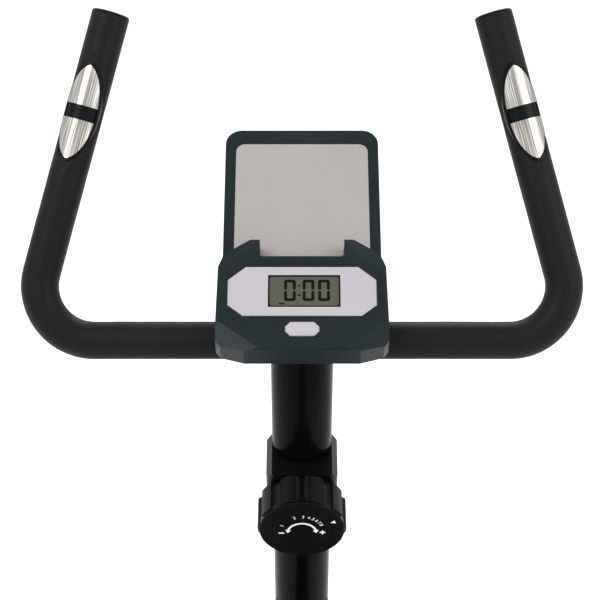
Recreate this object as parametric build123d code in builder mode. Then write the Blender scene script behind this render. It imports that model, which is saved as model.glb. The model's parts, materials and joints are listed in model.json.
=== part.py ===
from build123d import *
import math
import os

# Upright magnetic exercise bike, as an assembly of separate pieces, in millimetres.
# +X is the rider's right, +Y is forwards, +Z is up. The origin is on the floor, under the
# middle of the footprint. The rider sits on the -Y side and looks along +Y.

# ---------------------------------------------------------------- driving dimensions
fit_gap = 0.1  # between pieces that are fastened together
run_gap = 0.05  # radial clearance of a shaft that turns
free_gap = 0.5  # between pieces that move past each other

# base
overall_length = 910.0
overall_width = 500.0
stabiliser_od = 50.0
stabiliser_wall = 2.0
cap_radius = 29.0
cap_length = 45.0
pad_height = 9.0
transport_wheel_radius = 24.0
transport_wheel_width = 20.0
transport_wheel_lift = 6.0
transport_wheel_reach = 52.0
spine_width = 40.0
spine_height = 60.0
spine_wall = 2.0
saddle_plate_width = 116.0
saddle_plate_height = 5.0
bolt_radius = 4.0

# crank, pulleys and flywheel
crank_y = -70.0
crank_z = 310.0
crank_length = 165.0
crank_angle = -35.0  # of the right arm, above the forward direction
crank_thickness = 15.0
axle_radius = 8.5
axle_bearing_radius = 17.5
axle_bearing_width = 10.0
bracket_shell_od = 44.0
bracket_shell_width = 70.0
drive_pulley_radius = 110.0
small_pulley_radius = 15.0
belt_width = 12.0
belt_thickness = 4.0
belt_x = 49.0
flywheel_y = 180.0
flywheel_z = 300.0
flywheel_radius = 120.0
flywheel_rim_width = 24.0
flywheel_rim_depth = 22.0
flywheel_web = 8.0
shaft_radius = 7.5
shaft_bearing_radius = 16.0
shaft_bearing_width = 9.0
idler_radius = 20.0
idler_push = 6.0
beam_height = 40.0
beam_thickness = 6.0
magnet_gap = 2.0
magnet_thickness = 5.0
magnet_count = 5
carrier_thickness = 4.0
carrier_width = 30.0
carrier_first = 32.0  # where it starts and ends round the flywheel, in degrees
carrier_last = 126.0

# shroud
shroud_half_width = 66.0
shroud_wall = 3.0
shroud_edge = 22.0
crank_disc_radius = 92.0
crank_disc_thickness = 6.0

# seat
seat_lean = 22.0
seat_tube_od = 50.0
seat_tube_wall = 2.0
seat_tube_top = 330.0
seat_post_od = 38.0
seat_post_wall = 2.0
seat_post_overlap = 170.0
seat_post_length = 370.0
seat_travel = 80.0
seat_hole_pitch = 20.0
seat_pin_radius = 4.5
seat_pin_throw = 6.0
saddle_length = 270.0
saddle_width = 245.0
saddle_base_height = 9.0
saddle_pad_height = 50.0
seat_stub_radius = 11.0
rail_radius = 3.5
rail_spacing = 36.0
rail_reach = 95.0
rail_rise = 9.0  # above the clamp's bolt

# front post and tension control
post_lean = 20.0
bar_y = 150.0
bar_z = 1000.0
post_od = 53.0
post_wall = 2.0
post_length = 440.0  # below the handlebar's axis
post_start = 20.0
post_lip = -3.0  # the top of the post's wall on the rider's side, above the handlebar's axis
stub_length = 110.0
upright_bend_drop = 640.0  # from the handlebar's axis, along the post
upright_foot_y = 360.0
knob_drop = 164.0
knob_radius = 39.0
knob_face_radius = 37.4
knob_depth = 30.0
knob_lobes = 10
dial_radius = 24.5
housing_width = 63.0
housing_height = 74.0
housing_front = 40.0  # from the post's axis

# handlebar
bar_od = 25.4
bar_wall = 1.5
foam_thickness = 3.0
arm_lean = 22.0
corner_half_width = 232.0
tip_half_width = 157.7
arm_height = 270.9
bend_radius = 45.0
foam_start = 56.0
grip_end = 5.0
tip_rounding = 2.0
clamp_radius = 17.5
clamp_half_width = 20.0
sensor_drop = 86.3  # from the tip of the arm to the sensor's middle
sensor_turn = 10.0
plate_length = 84.0
plate_half_width = 14.9
plate_band = 12.0
plate_margin = 2.5

# console
console_lean = 52.0
console_width = 140.0
console_face = 48.0
console_split = 34.0
console_back = 20.0
console_wall = 2.2
chin = -32.0
shoulder = 70.0
notch = 54.4
notch_half_width = 35.0
tablet_width = 132.5
tablet_top = 190.0
tablet_back = 18.0
tablet_front = 30.0
tablet_radius = 14.0
tablet_border = 9.0
insert_recess = 1.6
fascia_height = 45.0
fascia_mid = 20.5
lcd_width = 58.5
lcd_height = 29.0
button_width = 27.5
button_height = 12.5
button_mid = -14.0
button_rise = 1.6
facet_slope = 17.0
lcd_x = 1.7
battery_x = 43.5
battery_mid = 15.0

# pedals
pedal_inner = 98.0
pedal_width = 96.0
pedal_length = 80.0
pedal_height = 24.0
pedal_spindle_radius = 6.0
strap_width = 26.0
strap_thickness = 2.4
strap_height = 62.0
strap_bend = 42.0
strap_ahead = 23.0  # of the pedal's axis

# ---------------------------------------------------------------- places
SIDES = (("left", -1), ("right", 1))


def leaning(origin, degrees):
    """A plane at origin whose z leans back by degrees, with x to the right."""
    lean = math.radians(degrees)
    return Plane(origin=origin, x_dir=(1, 0, 0), z_dir=(0, -math.sin(lean), math.cos(lean)))


def facing(origin, degrees):
    """A plane at origin that faces the rider, with its y up and leaning forwards by degrees."""
    lean = math.radians(degrees)
    return Plane(origin=origin, x_dir=(1, 0, 0), z_dir=(0, -math.cos(lean), math.sin(lean)))


crank_centre = (0, crank_y, crank_z)
bar_centre = (0, bar_y, bar_z)
seat_plane = leaning(crank_centre, seat_lean)
post_plane = leaning(bar_centre, post_lean)
bar_plane = facing(bar_centre, arm_lean)
console_plane = facing(bar_centre, console_lean)

half_length = overall_length / 2
half_width = overall_width / 2
stabiliser_z = pad_height + cap_radius - 2
rear_y = -(half_length - cap_radius)
wheel_x = half_width - cap_length / 2
wheel_y = half_length - transport_wheel_radius
wheel_z = transport_wheel_lift + transport_wheel_radius
front_y = wheel_y - transport_wheel_reach
spine_low = stabiliser_z + stabiliser_od / 2
spine_z = spine_low + spine_height / 2
bolt_x = saddle_plate_width / 2 - 16
spine_rear = rear_y - 20
spine_front = front_y + 20
beam_x = seat_tube_od / 2 + beam_thickness / 2 - 1
beam_outer = beam_x + beam_thickness / 2
boss_end = beam_outer + 9
crank_inner = shroud_half_width + crank_disc_thickness + 4
crank_outer = crank_inner + crank_thickness
foam_od = bar_od + 2 * foam_thickness


def post_point(drop, ahead, x=0.0):
    """The point `drop` below the handlebar's axis along the post, and `ahead` of the post's axis."""
    return post_plane.from_local_coords(Vector(x, ahead, -drop))


def finish(builder, name):
    """Labels a finished piece and writes it."""
    builder.part.label = name
    export_step(builder.part, f"parts/{name}.step")


def x_cylinder(radius, start, end, y, z, mode=Mode.ADD):
    """A cylinder along X from start to end, inside the current part."""
    with Locations(Location(((start + end) / 2, y, z), (0, 90, 0))):
        Cylinder(radius, abs(end - start), mode=mode)


def upright_path():
    """The front upright's centre line: down the post's line, then to the spine."""
    top = post_point(post_length - stub_length, 0)
    bend = post_point(upright_bend_drop, 0)
    return FilletPolyline((top.Y, top.Z), (bend.Y, bend.Z), (upright_foot_y, spine_z), radius=90)


def upright_bar(radius):
    """A round bar of this radius along the upright's path."""
    with BuildPart() as bar:
        with BuildLine(Plane.YZ) as line:
            upright_path()
        with BuildSketch(Plane(origin=line.line @ 0, x_dir=(1, 0, 0), z_dir=line.line % 0)):
            Circle(radius)
        sweep()
    return bar.part


# ---------------------------------------------------------------- frame and base
pivot_angle = 140.0
pivot_reach = flywheel_radius + 12
pivot_y = flywheel_y + pivot_reach * math.cos(math.radians(pivot_angle))
pivot_z = flywheel_z + pivot_reach * math.sin(math.radians(pivot_angle))
pivot_radius = 4.0
stub_radius = post_od / 2 - post_wall - fit_gap
stub_wall = 2.5
post_bolt_drops = (388.0, 416.0)
pin_height = seat_tube_top - 28
bush_flange = 4.0
cable_exit_drop = 612.0
cable_exit_angle = 42.0
cable_radius = 2.0
cable_depth = 8.0  # from the post's axis, towards the rider


def make_main_frame():
    upright_outside = upright_bar(stub_radius)
    upright_inside = upright_bar(stub_radius - stub_wall)
    with BuildPart() as main_frame:
        with Locations((0, (spine_front + spine_rear) / 2, spine_z)):
            Box(spine_width, spine_front - spine_rear, spine_height)
        fillet(main_frame.edges().filter_by(Axis.Y), radius=6)
        foot = (crank_z - spine_z) / math.cos(math.radians(seat_lean))
        with BuildSketch(seat_plane.offset(-foot)):
            Circle(seat_tube_od / 2)
        extrude(amount=foot + seat_tube_top)
        x_cylinder(bracket_shell_od / 2, -bracket_shell_width / 2, bracket_shell_width / 2, crank_y, crank_z)
        add(upright_outside)
        for side in (-1, 1):
            with Locations((side * beam_x, (crank_y + upright_foot_y) / 2, flywheel_z)):
                Box(beam_thickness, upright_foot_y - crank_y, beam_height)
            with Locations((side * beam_x, pivot_y, (flywheel_z + pivot_z + 12) / 2)):
                Box(beam_thickness, 26, pivot_z + 12 - flywheel_z)
            x_cylinder(shaft_bearing_radius + 4, side * (beam_x - 3), side * boss_end, flywheel_y, flywheel_z)
            wall = shroud_half_width - shroud_wall - fit_gap
            x_cylinder(7, side * (beam_outer - 2), side * wall, upright_foot_y - 30, flywheel_z)
        for y in (rear_y, front_y):
            with Locations((0, y, spine_low + saddle_plate_height)):
                Box(saddle_plate_width, 46, 16, align=(Align.CENTER, Align.CENTER, Align.MAX))
        with BuildSketch(seat_plane.offset(pin_height)):
            with Locations((0, -seat_tube_od / 2 - 6)):
                Rectangle(22, 16)
        extrude(amount=11, both=True)
        # hollows
        with Locations((0, (spine_front + spine_rear) / 2, spine_z)):
            Box(
                spine_width - 2 * spine_wall,
                spine_front - spine_rear - 6,
                spine_height - 2 * spine_wall,
                mode=Mode.SUBTRACT,
            )
        seat_bore = seat_tube_od / 2 - seat_tube_wall
        shell_clear = bracket_shell_od / 2 + 2
        with BuildSketch(seat_plane.offset(shell_clear)):
            Circle(seat_bore)
        extrude(amount=seat_tube_top, mode=Mode.SUBTRACT)
        with BuildSketch(seat_plane.offset(-foot)):
            Circle(seat_bore)
        extrude(amount=foot - shell_clear, mode=Mode.SUBTRACT)
        add(upright_inside, mode=Mode.SUBTRACT)
        x_cylinder(
            axle_bearing_radius, -bracket_shell_width, bracket_shell_width, crank_y, crank_z, Mode.SUBTRACT
        )
        x_cylinder(shaft_bearing_radius, -2 * boss_end, 2 * boss_end, flywheel_y, flywheel_z, Mode.SUBTRACT)
        x_cylinder(pivot_radius, -2 * boss_end, 2 * boss_end, pivot_y, pivot_z, Mode.SUBTRACT)
        for y in (rear_y, front_y):
            x_cylinder(
                stabiliser_od / 2 + fit_gap, -half_width, half_width, y, stabiliser_z, Mode.SUBTRACT
            )
            with Locations((-bolt_x, y, spine_low), (bolt_x, y, spine_low)):
                Cylinder(bolt_radius + 0.3, 40, mode=Mode.SUBTRACT)
        with BuildSketch(Plane(seat_plane.from_local_coords(Vector(0, 0, pin_height)), x_dir=(1, 0, 0),
                               z_dir=-seat_plane.y_dir)):
            Circle(seat_pin_radius + fit_gap)
        extrude(amount=60, mode=Mode.SUBTRACT)
        with Locations(Location(post_point(cable_exit_drop, -stub_radius), (-cable_exit_angle, 0, 0))):
            Cylinder(6, 24, mode=Mode.SUBTRACT)
        for drop in post_bolt_drops:
            bolt = post_point(drop, 0)
            x_cylinder(bolt_radius + 0.3, -post_od, post_od, bolt.Y, bolt.Z, Mode.SUBTRACT)
    finish(main_frame, "main_frame")


def make_stabilisers():
    with BuildPart() as tubes:
        for y in (rear_y, front_y):
            end = half_width - 4
            x_cylinder(stabiliser_od / 2, -end, end, y, stabiliser_z)
            x_cylinder(stabiliser_od / 2 - stabiliser_wall, -end, end, y, stabiliser_z, Mode.SUBTRACT)
            with Locations((-bolt_x, y, stabiliser_z), (bolt_x, y, stabiliser_z)):
                Cylinder(bolt_radius + 0.3, 2 * stabiliser_od, mode=Mode.SUBTRACT)
    finish(tubes, "stabilisers")


def make_base_bolts():
    """Carriage bolts up through the stabilisers, with a washer and a nut on top of the saddle plate."""
    seat = spine_low + saddle_plate_height
    foot = stabiliser_z - stabiliser_od / 2
    with BuildPart() as bolts:
        for x in (-bolt_x, bolt_x):
            for y in (rear_y, front_y):
                with Locations((x, y, foot - 3)):
                    Cylinder(bolt_radius, seat - foot + 16, align=(Align.CENTER, Align.CENTER, Align.MIN))
                with Locations((x, y, foot - fit_gap)):
                    Cylinder(9, 4, align=(Align.CENTER, Align.CENTER, Align.MAX))
                with Locations((x, y, seat + fit_gap)):
                    Cylinder(9, 1.6, align=(Align.CENTER, Align.CENTER, Align.MIN))
                with BuildSketch(Plane.XY.offset(seat + fit_gap + 1.6)):
                    with Locations((x, y)):
                        RegularPolygon(7.5, 6)
                extrude(amount=6.5)
    finish(bolts, "base_bolts")


def make_end_caps():
    """Plastic caps over the stabilisers' ends; the front pair carries the transport wheels."""
    with BuildPart() as caps:
        for y in (rear_y, front_y):
            for side in (-1, 1):
                x_cylinder(cap_radius, side * (half_width - cap_length), side * half_width, y, stabiliser_z)
        fillet(caps.edges().filter_by(GeomType.CIRCLE), radius=3)
        for side in (-1, 1):
            for x in (wheel_x - 15, wheel_x + 15):
                with BuildSketch(Plane.YZ.offset(side * x)):
                    with Locations((front_y, stabiliser_z)):
                        Circle(cap_radius - 4)
                    with Locations((wheel_y, wheel_z)):
                        Circle(12)
                    make_hull()
                extrude(amount=3.5, both=True)
            pocket = transport_wheel_width / 2 + 1
            x_cylinder(transport_wheel_radius + 1.5, side * (wheel_x - pocket), side * (wheel_x + pocket),
                       wheel_y, wheel_z, Mode.SUBTRACT)
            x_cylinder(4.1, side * 150, side * 300, wheel_y, wheel_z, Mode.SUBTRACT)
        for y in (rear_y, front_y):
            for side in (-1, 1):
                end = side * (half_width - 4 + fit_gap)
                inner = side * (half_width - cap_length - 1)
                x_cylinder(stabiliser_od / 2 + fit_gap, inner, end, y, stabiliser_z, Mode.SUBTRACT)
            with Locations((0, y, pad_height)):
                Box(2 * overall_width, 80, 40, align=(Align.CENTER, Align.CENTER, Align.MAX), mode=Mode.SUBTRACT)
    finish(caps, "end_caps")


def make_floor_pads():
    with BuildPart() as pads:
        for y in (rear_y, front_y):
            for side in (-1, 1):
                with Locations((side * (half_width - cap_length / 2), y, 0)):
                    Box(36, 26, pad_height, align=(Align.CENTER, Align.CENTER, Align.MIN))
        chamfer(pads.edges().group_by(Axis.Z)[0], length=1.5)
    finish(pads, "floor_pads")


def make_transport_wheels():
    with BuildPart() as axles:
        for side in (-1, 1):
            x_cylinder(4, side * (wheel_x - 19), side * (wheel_x + 19), wheel_y, wheel_z)
            x_cylinder(6.5, side * (wheel_x + 18.6), side * (wheel_x + 21), wheel_y, wheel_z)
    finish(axles, "wheel_axles")
    for name, side in SIDES:
        with BuildPart() as wheel:
            half = transport_wheel_width / 2
            x_cylinder(transport_wheel_radius, side * (wheel_x - half), side * (wheel_x + half), wheel_y, wheel_z)
            fillet(wheel.edges().filter_by(GeomType.CIRCLE), radius=3)
            x_cylinder(4 + run_gap, side * 150, side * 300, wheel_y, wheel_z, Mode.SUBTRACT)
        finish(wheel, f"transport_wheel_{name}")


# ---------------------------------------------------------------- drive train
def tangent_points(c1, r1, c2, r2):
    """The ends of the straight run between two circles; a positive radius is passed clockwise."""
    dx, dy = c2[0] - c1[0], c2[1] - c1[1]
    base = math.atan2(dy, dx)
    turn = base + math.acos((r1 - r2) / math.hypot(dx, dy))
    unit = (math.cos(turn), math.sin(turn))
    return (c1[0] + r1 * unit[0], c1[1] + r1 * unit[1]), (c2[0] + r2 * unit[0], c2[1] + r2 * unit[1])


def idler_place():
    """The idler's centre, pressed up into the belt's lower run from outside."""
    c1, c2 = (crank_y, crank_z), (flywheel_y, flywheel_z)
    start, end = tangent_points(c2, small_pulley_radius, c1, drive_pulley_radius)
    run = math.hypot(end[0] - start[0], end[1] - start[1])
    normal = ((end[1] - start[1]) / run, -(end[0] - start[0]) / run)
    middle = ((start[0] + end[0]) / 2, (start[1] + end[1]) / 2)
    reach = belt_thickness + run_gap + idler_radius - idler_push
    return middle[0] - normal[0] * reach, middle[1] - normal[1] * reach


idler_y, idler_z = idler_place()


def belt_loop(shift):
    """The belt's closed line, shift outside the middle of its thickness, as circles joined by tangents."""
    half = belt_thickness / 2 + run_gap
    rounds = [
        ((crank_y, crank_z), drive_pulley_radius + half + shift),
        ((flywheel_y, flywheel_z), small_pulley_radius + half + shift),
        ((idler_y, idler_z), -(idler_radius + half - shift)),
    ]
    runs = []
    for i, (centre, radius) in enumerate(rounds):
        following, next_radius = rounds[(i + 1) % 3]
        runs.append(tangent_points(centre, radius, following, next_radius))
    for i, (centre, radius) in enumerate(rounds):
        arrive, leave = runs[i - 1][1], runs[i][0]
        Line(*runs[i])
        a1 = math.atan2(arrive[1] - centre[1], arrive[0] - centre[0])
        a2 = math.atan2(leave[1] - centre[1], leave[0] - centre[0])
        sweep_angle = (a2 - a1) % (2 * math.pi) if radius < 0 else (a2 - a1) % (-2 * math.pi)
        mid = a1 + sweep_angle / 2
        size = abs(radius)
        ThreePointArc(
            arrive, (centre[0] + size * math.cos(mid), centre[1] + size * math.sin(mid)), leave
        )


def make_belt():
    with BuildPart() as belt:
        with BuildSketch(Plane.YZ.offset(belt_x)):
            with BuildLine():
                belt_loop(belt_thickness / 2)
            make_face()
            with BuildLine():
                belt_loop(-belt_thickness / 2)
            make_face(mode=Mode.SUBTRACT)
        extrude(amount=belt_width / 2, both=True)
    finish(belt, "drive_belt")


def make_pulleys():
    low, high = belt_x - belt_width / 2 - 1, belt_x + belt_width / 2 + 1
    with BuildPart() as drive_pulley:
        x_cylinder(drive_pulley_radius, low, high, crank_y, crank_z)
        x_cylinder(drive_pulley_radius + 3, low - 2, low, crank_y, crank_z)
        x_cylinder(drive_pulley_radius - 8, low + 4, high + 1, crank_y, crank_z, Mode.SUBTRACT)
        x_cylinder(28, low, high - 2, crank_y, crank_z)
        window_ring = (28 + drive_pulley_radius - 8) / 2
        with BuildSketch(Plane(crank_centre, x_dir=(0, 1, 0), z_dir=(1, 0, 0))):
            with PolarLocations(window_ring, 6):
                Circle(window_ring * 0.3)
        extrude(amount=100, mode=Mode.SUBTRACT)
        x_cylinder(axle_radius + fit_gap, 0, 100, crank_y, crank_z, Mode.SUBTRACT)
    finish(drive_pulley, "drive_pulley")


def make_flywheel():
    with BuildPart() as flywheel:
        half = flywheel_rim_width / 2
        x_cylinder(flywheel_radius, -half, half, flywheel_y, flywheel_z)
        for side in (-1, 1):
            x_cylinder(
                flywheel_radius - flywheel_rim_depth,
                side * flywheel_web / 2,
                side * half,
                flywheel_y,
                flywheel_z,
                Mode.SUBTRACT,
            )
        x_cylinder(20, -half - 4, half + 4, flywheel_y, flywheel_z)
        x_cylinder(shaft_radius + fit_gap, -100, 100, flywheel_y, flywheel_z, Mode.SUBTRACT)
    finish(flywheel, "flywheel")
    low, high = belt_x - belt_width / 2 - 1, belt_x + belt_width / 2 + 1
    with BuildPart() as shaft:
        x_cylinder(shaft_radius, -boss_end - 2, high + 3, flywheel_y, flywheel_z)
        x_cylinder(small_pulley_radius, low, high, flywheel_y, flywheel_z)
        x_cylinder(small_pulley_radius + 3, low - 1.5, low, flywheel_y, flywheel_z)
        x_cylinder(small_pulley_radius + 3, high, high + 1.5, flywheel_y, flywheel_z)
    finish(shaft, "flywheel_shaft")


def make_bearings():
    """Ball bearings drawn as plain rings: a pair in the bracket shell and a pair in the beams."""
    with BuildPart() as bearings:
        for side in (-1, 1):
            end = side * bracket_shell_width / 2
            inner = end - side * axle_bearing_width
            x_cylinder(axle_bearing_radius - fit_gap / 2, inner, end, crank_y, crank_z)
            end = side * boss_end
            inner = end - side * shaft_bearing_width
            x_cylinder(shaft_bearing_radius - fit_gap / 2, inner, end, flywheel_y, flywheel_z)
        x_cylinder(axle_radius + run_gap, -100, 100, crank_y, crank_z, Mode.SUBTRACT)
        x_cylinder(shaft_radius + run_gap, -100, 100, flywheel_y, flywheel_z, Mode.SUBTRACT)
    finish(bearings, "ball_bearings")


def make_idler():
    low, high = belt_x - belt_width / 2 - 1, belt_x + belt_width / 2 + 1
    with BuildPart() as wheel:
        x_cylinder(idler_radius, low, high, idler_y, idler_z)
        x_cylinder(5 + run_gap, 0, 100, idler_y, idler_z, Mode.SUBTRACT)
    finish(wheel, "idler_wheel")
    plate_low = beam_outer + fit_gap
    with BuildPart() as arm:
        with BuildSketch(Plane.YZ.offset(plate_low)):
            with Locations((idler_y, idler_z)):
                Circle(12)
            with Locations((idler_y - 26, flywheel_z)):
                Circle(12)
            make_hull()
        extrude(amount=5)
        x_cylinder(5, plate_low, high + 2, idler_y, idler_z)
        x_cylinder(8, high + 0.6, high + 4, idler_y, idler_z)
        x_cylinder(6, plate_low, plate_low + 10, idler_y - 26, flywheel_z)
    finish(arm, "idler_arm")


def carrier_lug():
    """The middle of the lug that the tension cable pulls, on the front end of the magnet carrier."""
    radius = flywheel_radius + magnet_gap + magnet_thickness + carrier_thickness + 6
    angle = math.radians(carrier_first + 4)
    return flywheel_y + radius * math.cos(angle), flywheel_z + radius * math.sin(angle)


def make_magnet_carrier():
    """An arc shoe over the flywheel that swings on a pin and holds the magnets to the rim."""
    inner = flywheel_radius + magnet_gap + magnet_thickness
    outer = inner + carrier_thickness
    centre = Vector(flywheel_y, flywheel_z)
    first, last = carrier_first, carrier_last

    def at(radius, degrees):
        angle = math.radians(degrees)
        return centre + Vector(radius * math.cos(angle), radius * math.sin(angle))

    with BuildPart() as carrier:
        with BuildSketch(Plane.YZ):
            with BuildLine():
                middle = (first + last) / 2
                ThreePointArc(at(outer, first), at(outer, middle), at(outer, last))
                Line(at(outer, last), at(inner, last))
                ThreePointArc(at(inner, last), at(inner, middle), at(inner, first))
                Line(at(inner, first), at(outer, first))
            make_face()
        extrude(amount=carrier_width / 2, both=True)
        for side in (-1, 1):
            with BuildSketch(Plane.YZ.offset(side * (carrier_width / 2 - 2))):
                with Locations((pivot_y, pivot_z)):
                    Circle(9)
                with Locations(at(outer - 2, last - 8)):
                    Circle(3)
                make_hull()
            extrude(amount=2, both=True)
        with BuildSketch(Plane.YZ):
            with Locations(carrier_lug()):
                Circle(5)
            with Locations(at(outer - 2, first + 9)):
                Circle(2)
            make_hull()
        extrude(amount=3, both=True)
        x_cylinder(flywheel_radius + magnet_gap, -20, 20, flywheel_y, flywheel_z, Mode.SUBTRACT)
        x_cylinder(pivot_radius + run_gap, -50, 50, pivot_y, pivot_z, Mode.SUBTRACT)
    finish(carrier, "magnet_carrier")
    with BuildPart() as magnets:
        step = (last - first - 16) / (magnet_count - 1)
        for i in range(magnet_count):
            angle = first + 8 + i * step
            where = at(inner - magnet_thickness / 2 - fit_gap, angle)
            with Locations(Location((0, where.X, where.Y), (angle, 0, 0))):
                Box(22, magnet_thickness - 0.6, 16)
    finish(magnets, "brake_magnets")
    with BuildPart() as pin:
        x_cylinder(pivot_radius - fit_gap, -beam_outer - 3, beam_outer + 3, pivot_y, pivot_z)
        for side in (-1, 1):
            x_cylinder(7, side * (beam_outer + fit_gap), side * (beam_outer + 3), pivot_y, pivot_z)
    finish(pin, "carrier_pivot_pin")


# ---------------------------------------------------------------- cranks and pedals
crank_turn = math.radians(crank_angle)


def pedal_centre(side):
    """The pedal's axis in the Y-Z plane; the two cranks are half a turn apart."""
    reach = side * crank_length
    return crank_y + reach * math.cos(crank_turn), crank_z + reach * math.sin(crank_turn)


def make_cranks():
    with BuildPart() as axle:
        x_cylinder(axle_radius, -crank_outer + 1, crank_outer - 1, crank_y, crank_z)
    finish(axle, "crank_axle")
    with BuildPart() as arms:
        for side in (-1, 1):
            y, z = pedal_centre(side)
            with BuildSketch(Plane.YZ.offset(side * (crank_inner + crank_outer) / 2)):
                with Locations((crank_y, crank_z)):
                    Circle(18)
                with Locations((y, z)):
                    Circle(14)
                make_hull()
            extrude(amount=crank_thickness / 2, both=True)
        fillet(arms.edges().filter_by(Plane.YZ), radius=3)
        for side in (-1, 1):
            y, z = pedal_centre(side)
            x_cylinder(axle_radius + fit_gap, side * 10, side * 200, crank_y, crank_z, Mode.SUBTRACT)
            x_cylinder(pedal_spindle_radius + fit_gap, side * 10, side * 200, y, z, Mode.SUBTRACT)
            x_cylinder(13, side * (crank_outer - 3), side * 200, crank_y, crank_z, Mode.SUBTRACT)
    finish(arms, "crank_arms")
    with BuildPart() as caps:
        for side in (-1, 1):
            x_cylinder(12.5, side * (crank_outer - 0.9), side * (crank_outer + 2.5), crank_y, crank_z)
        outside = caps.faces().sort_by(Axis.X)
        fillet(outside[0].edges() + outside[-1].edges(), radius=1.5)
    finish(caps, "crank_bolt_caps")
    low = shroud_half_width + 2.5
    high = low + crank_disc_thickness
    with BuildPart() as discs:
        for side in (-1, 1):
            x_cylinder(crank_disc_radius, side * low, side * high, crank_y, crank_z)
        outside = discs.faces().sort_by(Axis.X)
        chamfer(outside[0].edges() + outside[-1].edges(), length=3)
        for side in (-1, 1):
            dish = crank_disc_radius - 16
            x_cylinder(dish, side * (high - 2), side * 100, crank_y, crank_z, Mode.SUBTRACT)
            x_cylinder(24, side * low, side * (crank_inner - fit_gap), crank_y, crank_z)
        x_cylinder(axle_radius + fit_gap, -200, 200, crank_y, crank_z, Mode.SUBTRACT)
    finish(discs, "crank_discs")


def strap_line(middle, z, grow):
    """A pedal strap's outline in the X-Z plane: straight up the pedal's sides, then over the shoe."""
    half = pedal_width / 2 + fit_gap + grow
    top = z + strap_height + grow
    FilletPolyline(
        (middle - half, z - 6), (middle - half, top), (middle + half, top), (middle + half, z - 6),
        radius=strap_bend + grow,
    )
    Line((middle + half, z - 6), (middle - half, z - 6))


def make_pedals():
    with BuildPart() as spindles:
        for side in (-1, 1):
            y, z = pedal_centre(side)
            end = side * (pedal_inner + pedal_width - 8)
            x_cylinder(pedal_spindle_radius, side * (crank_inner + 1), end, y, z)
            x_cylinder(9, side * (crank_outer + fit_gap), side * (crank_outer + 5), y, z)
    finish(spindles, "pedal_spindles")
    for name, side in SIDES:
        y, z = pedal_centre(side)
        middle = side * (pedal_inner + pedal_width / 2)
        with BuildPart() as pedal:
            with Locations((middle, y, z)):
                Box(pedal_width, pedal_length, pedal_height)
            fillet(pedal.edges().filter_by(Axis.Z), radius=12)
            for end in (-1, 1):
                with Locations((middle, y + end * pedal_length * 0.29, z)):
                    Box(pedal_width - 22, pedal_length * 0.2, 2 * pedal_height, mode=Mode.SUBTRACT)
            fillet(pedal.edges().group_by(Axis.Z)[0] + pedal.edges().group_by(Axis.Z)[-1], radius=1.5)
            end = side * (pedal_inner + pedal_width - 6)
            x_cylinder(pedal_spindle_radius + run_gap, side * 50, end, y, z, Mode.SUBTRACT)
        finish(pedal, f"pedal_{name}")
        with BuildPart() as strap:
            with BuildSketch(Plane.XZ.offset(-(y + strap_ahead))):
                with BuildLine():
                    strap_line(middle, z, strap_thickness)
                make_face()
                with BuildLine():
                    strap_line(middle, z, 0)
                make_face(mode=Mode.SUBTRACT)
            extrude(amount=strap_width / 2, both=True)
        finish(strap, f"pedal_strap_{name}")


# ---------------------------------------------------------------- seat
seat_post_low = seat_tube_top - seat_post_overlap
seat_post_high = seat_post_low + seat_post_length
saddle_centre = seat_plane.from_local_coords(Vector(0, 0, seat_post_high + 36))
saddle_y, saddle_z = saddle_centre.Y, saddle_centre.Z
rail_x = rail_spacing / 2
rail_z = saddle_z + rail_rise
saddle_base_z = rail_z + 22


def seat_pin_plane(height):
    """A plane on the seat tube's axis at this height, facing backwards."""
    return Plane(seat_plane.from_local_coords(Vector(0, 0, height)), x_dir=(1, 0, 0), z_dir=-seat_plane.y_dir)


def make_seat_post():
    steps = int(seat_travel / seat_hole_pitch)
    with BuildPart() as post:
        with BuildSketch(seat_plane.offset(seat_post_low)):
            Circle(seat_post_od / 2)
        extrude(amount=seat_post_length)
        with BuildSketch(seat_plane.offset(seat_post_high)):
            Circle(seat_stub_radius)
        extrude(amount=20)
        with BuildSketch(seat_plane.offset(seat_post_low)):
            Circle(seat_post_od / 2 - seat_post_wall)
        extrude(amount=seat_post_length - 8, mode=Mode.SUBTRACT)
        for step in range(-steps, steps + 1):
            with BuildSketch(seat_pin_plane(pin_height + step * seat_hole_pitch)):
                Circle(seat_pin_radius + 0.15)
            extrude(amount=seat_post_od, mode=Mode.SUBTRACT)
    finish(post, "seat_post")
    with BuildPart() as bush:
        with BuildSketch(seat_plane.offset(seat_tube_top - 100)):
            Circle(seat_tube_od / 2 - seat_tube_wall - fit_gap)
        extrude(amount=100)
        with BuildSketch(seat_plane.offset(seat_tube_top)):
            Circle(seat_tube_od / 2 + 2)
        extrude(amount=bush_flange)
        chamfer(bush.edges().sort_by(Axis((0, 0, 0), seat_plane.z_dir))[-1], length=1)
        with BuildSketch(seat_plane.offset(seat_tube_top - 120)):
            Circle(seat_post_od / 2 + run_gap)
        extrude(amount=150, mode=Mode.SUBTRACT)
        with BuildSketch(seat_pin_plane(pin_height)):
            Circle(seat_pin_radius + 0.15)
        extrude(amount=40, mode=Mode.SUBTRACT)
    finish(bush, "seat_tube_bush")
    with BuildPart() as pin:
        with BuildSketch(seat_pin_plane(pin_height).offset(seat_post_od / 2 + 0.3)):
            Circle(seat_pin_radius)
        extrude(amount=40)
        with BuildSketch(seat_pin_plane(pin_height).offset(seat_tube_od / 2 + 14 + seat_pin_throw + free_gap)):
            Circle(15)
            with PolarLocations(16.5, 12):
                Circle(2.6, mode=Mode.SUBTRACT)
        extrude(amount=26)
        fillet(pin.faces().sort_by(Axis((0, 0, 0), -seat_plane.y_dir))[-1].edges(), radius=1.2)
    finish(pin, "seat_pin")


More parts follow.
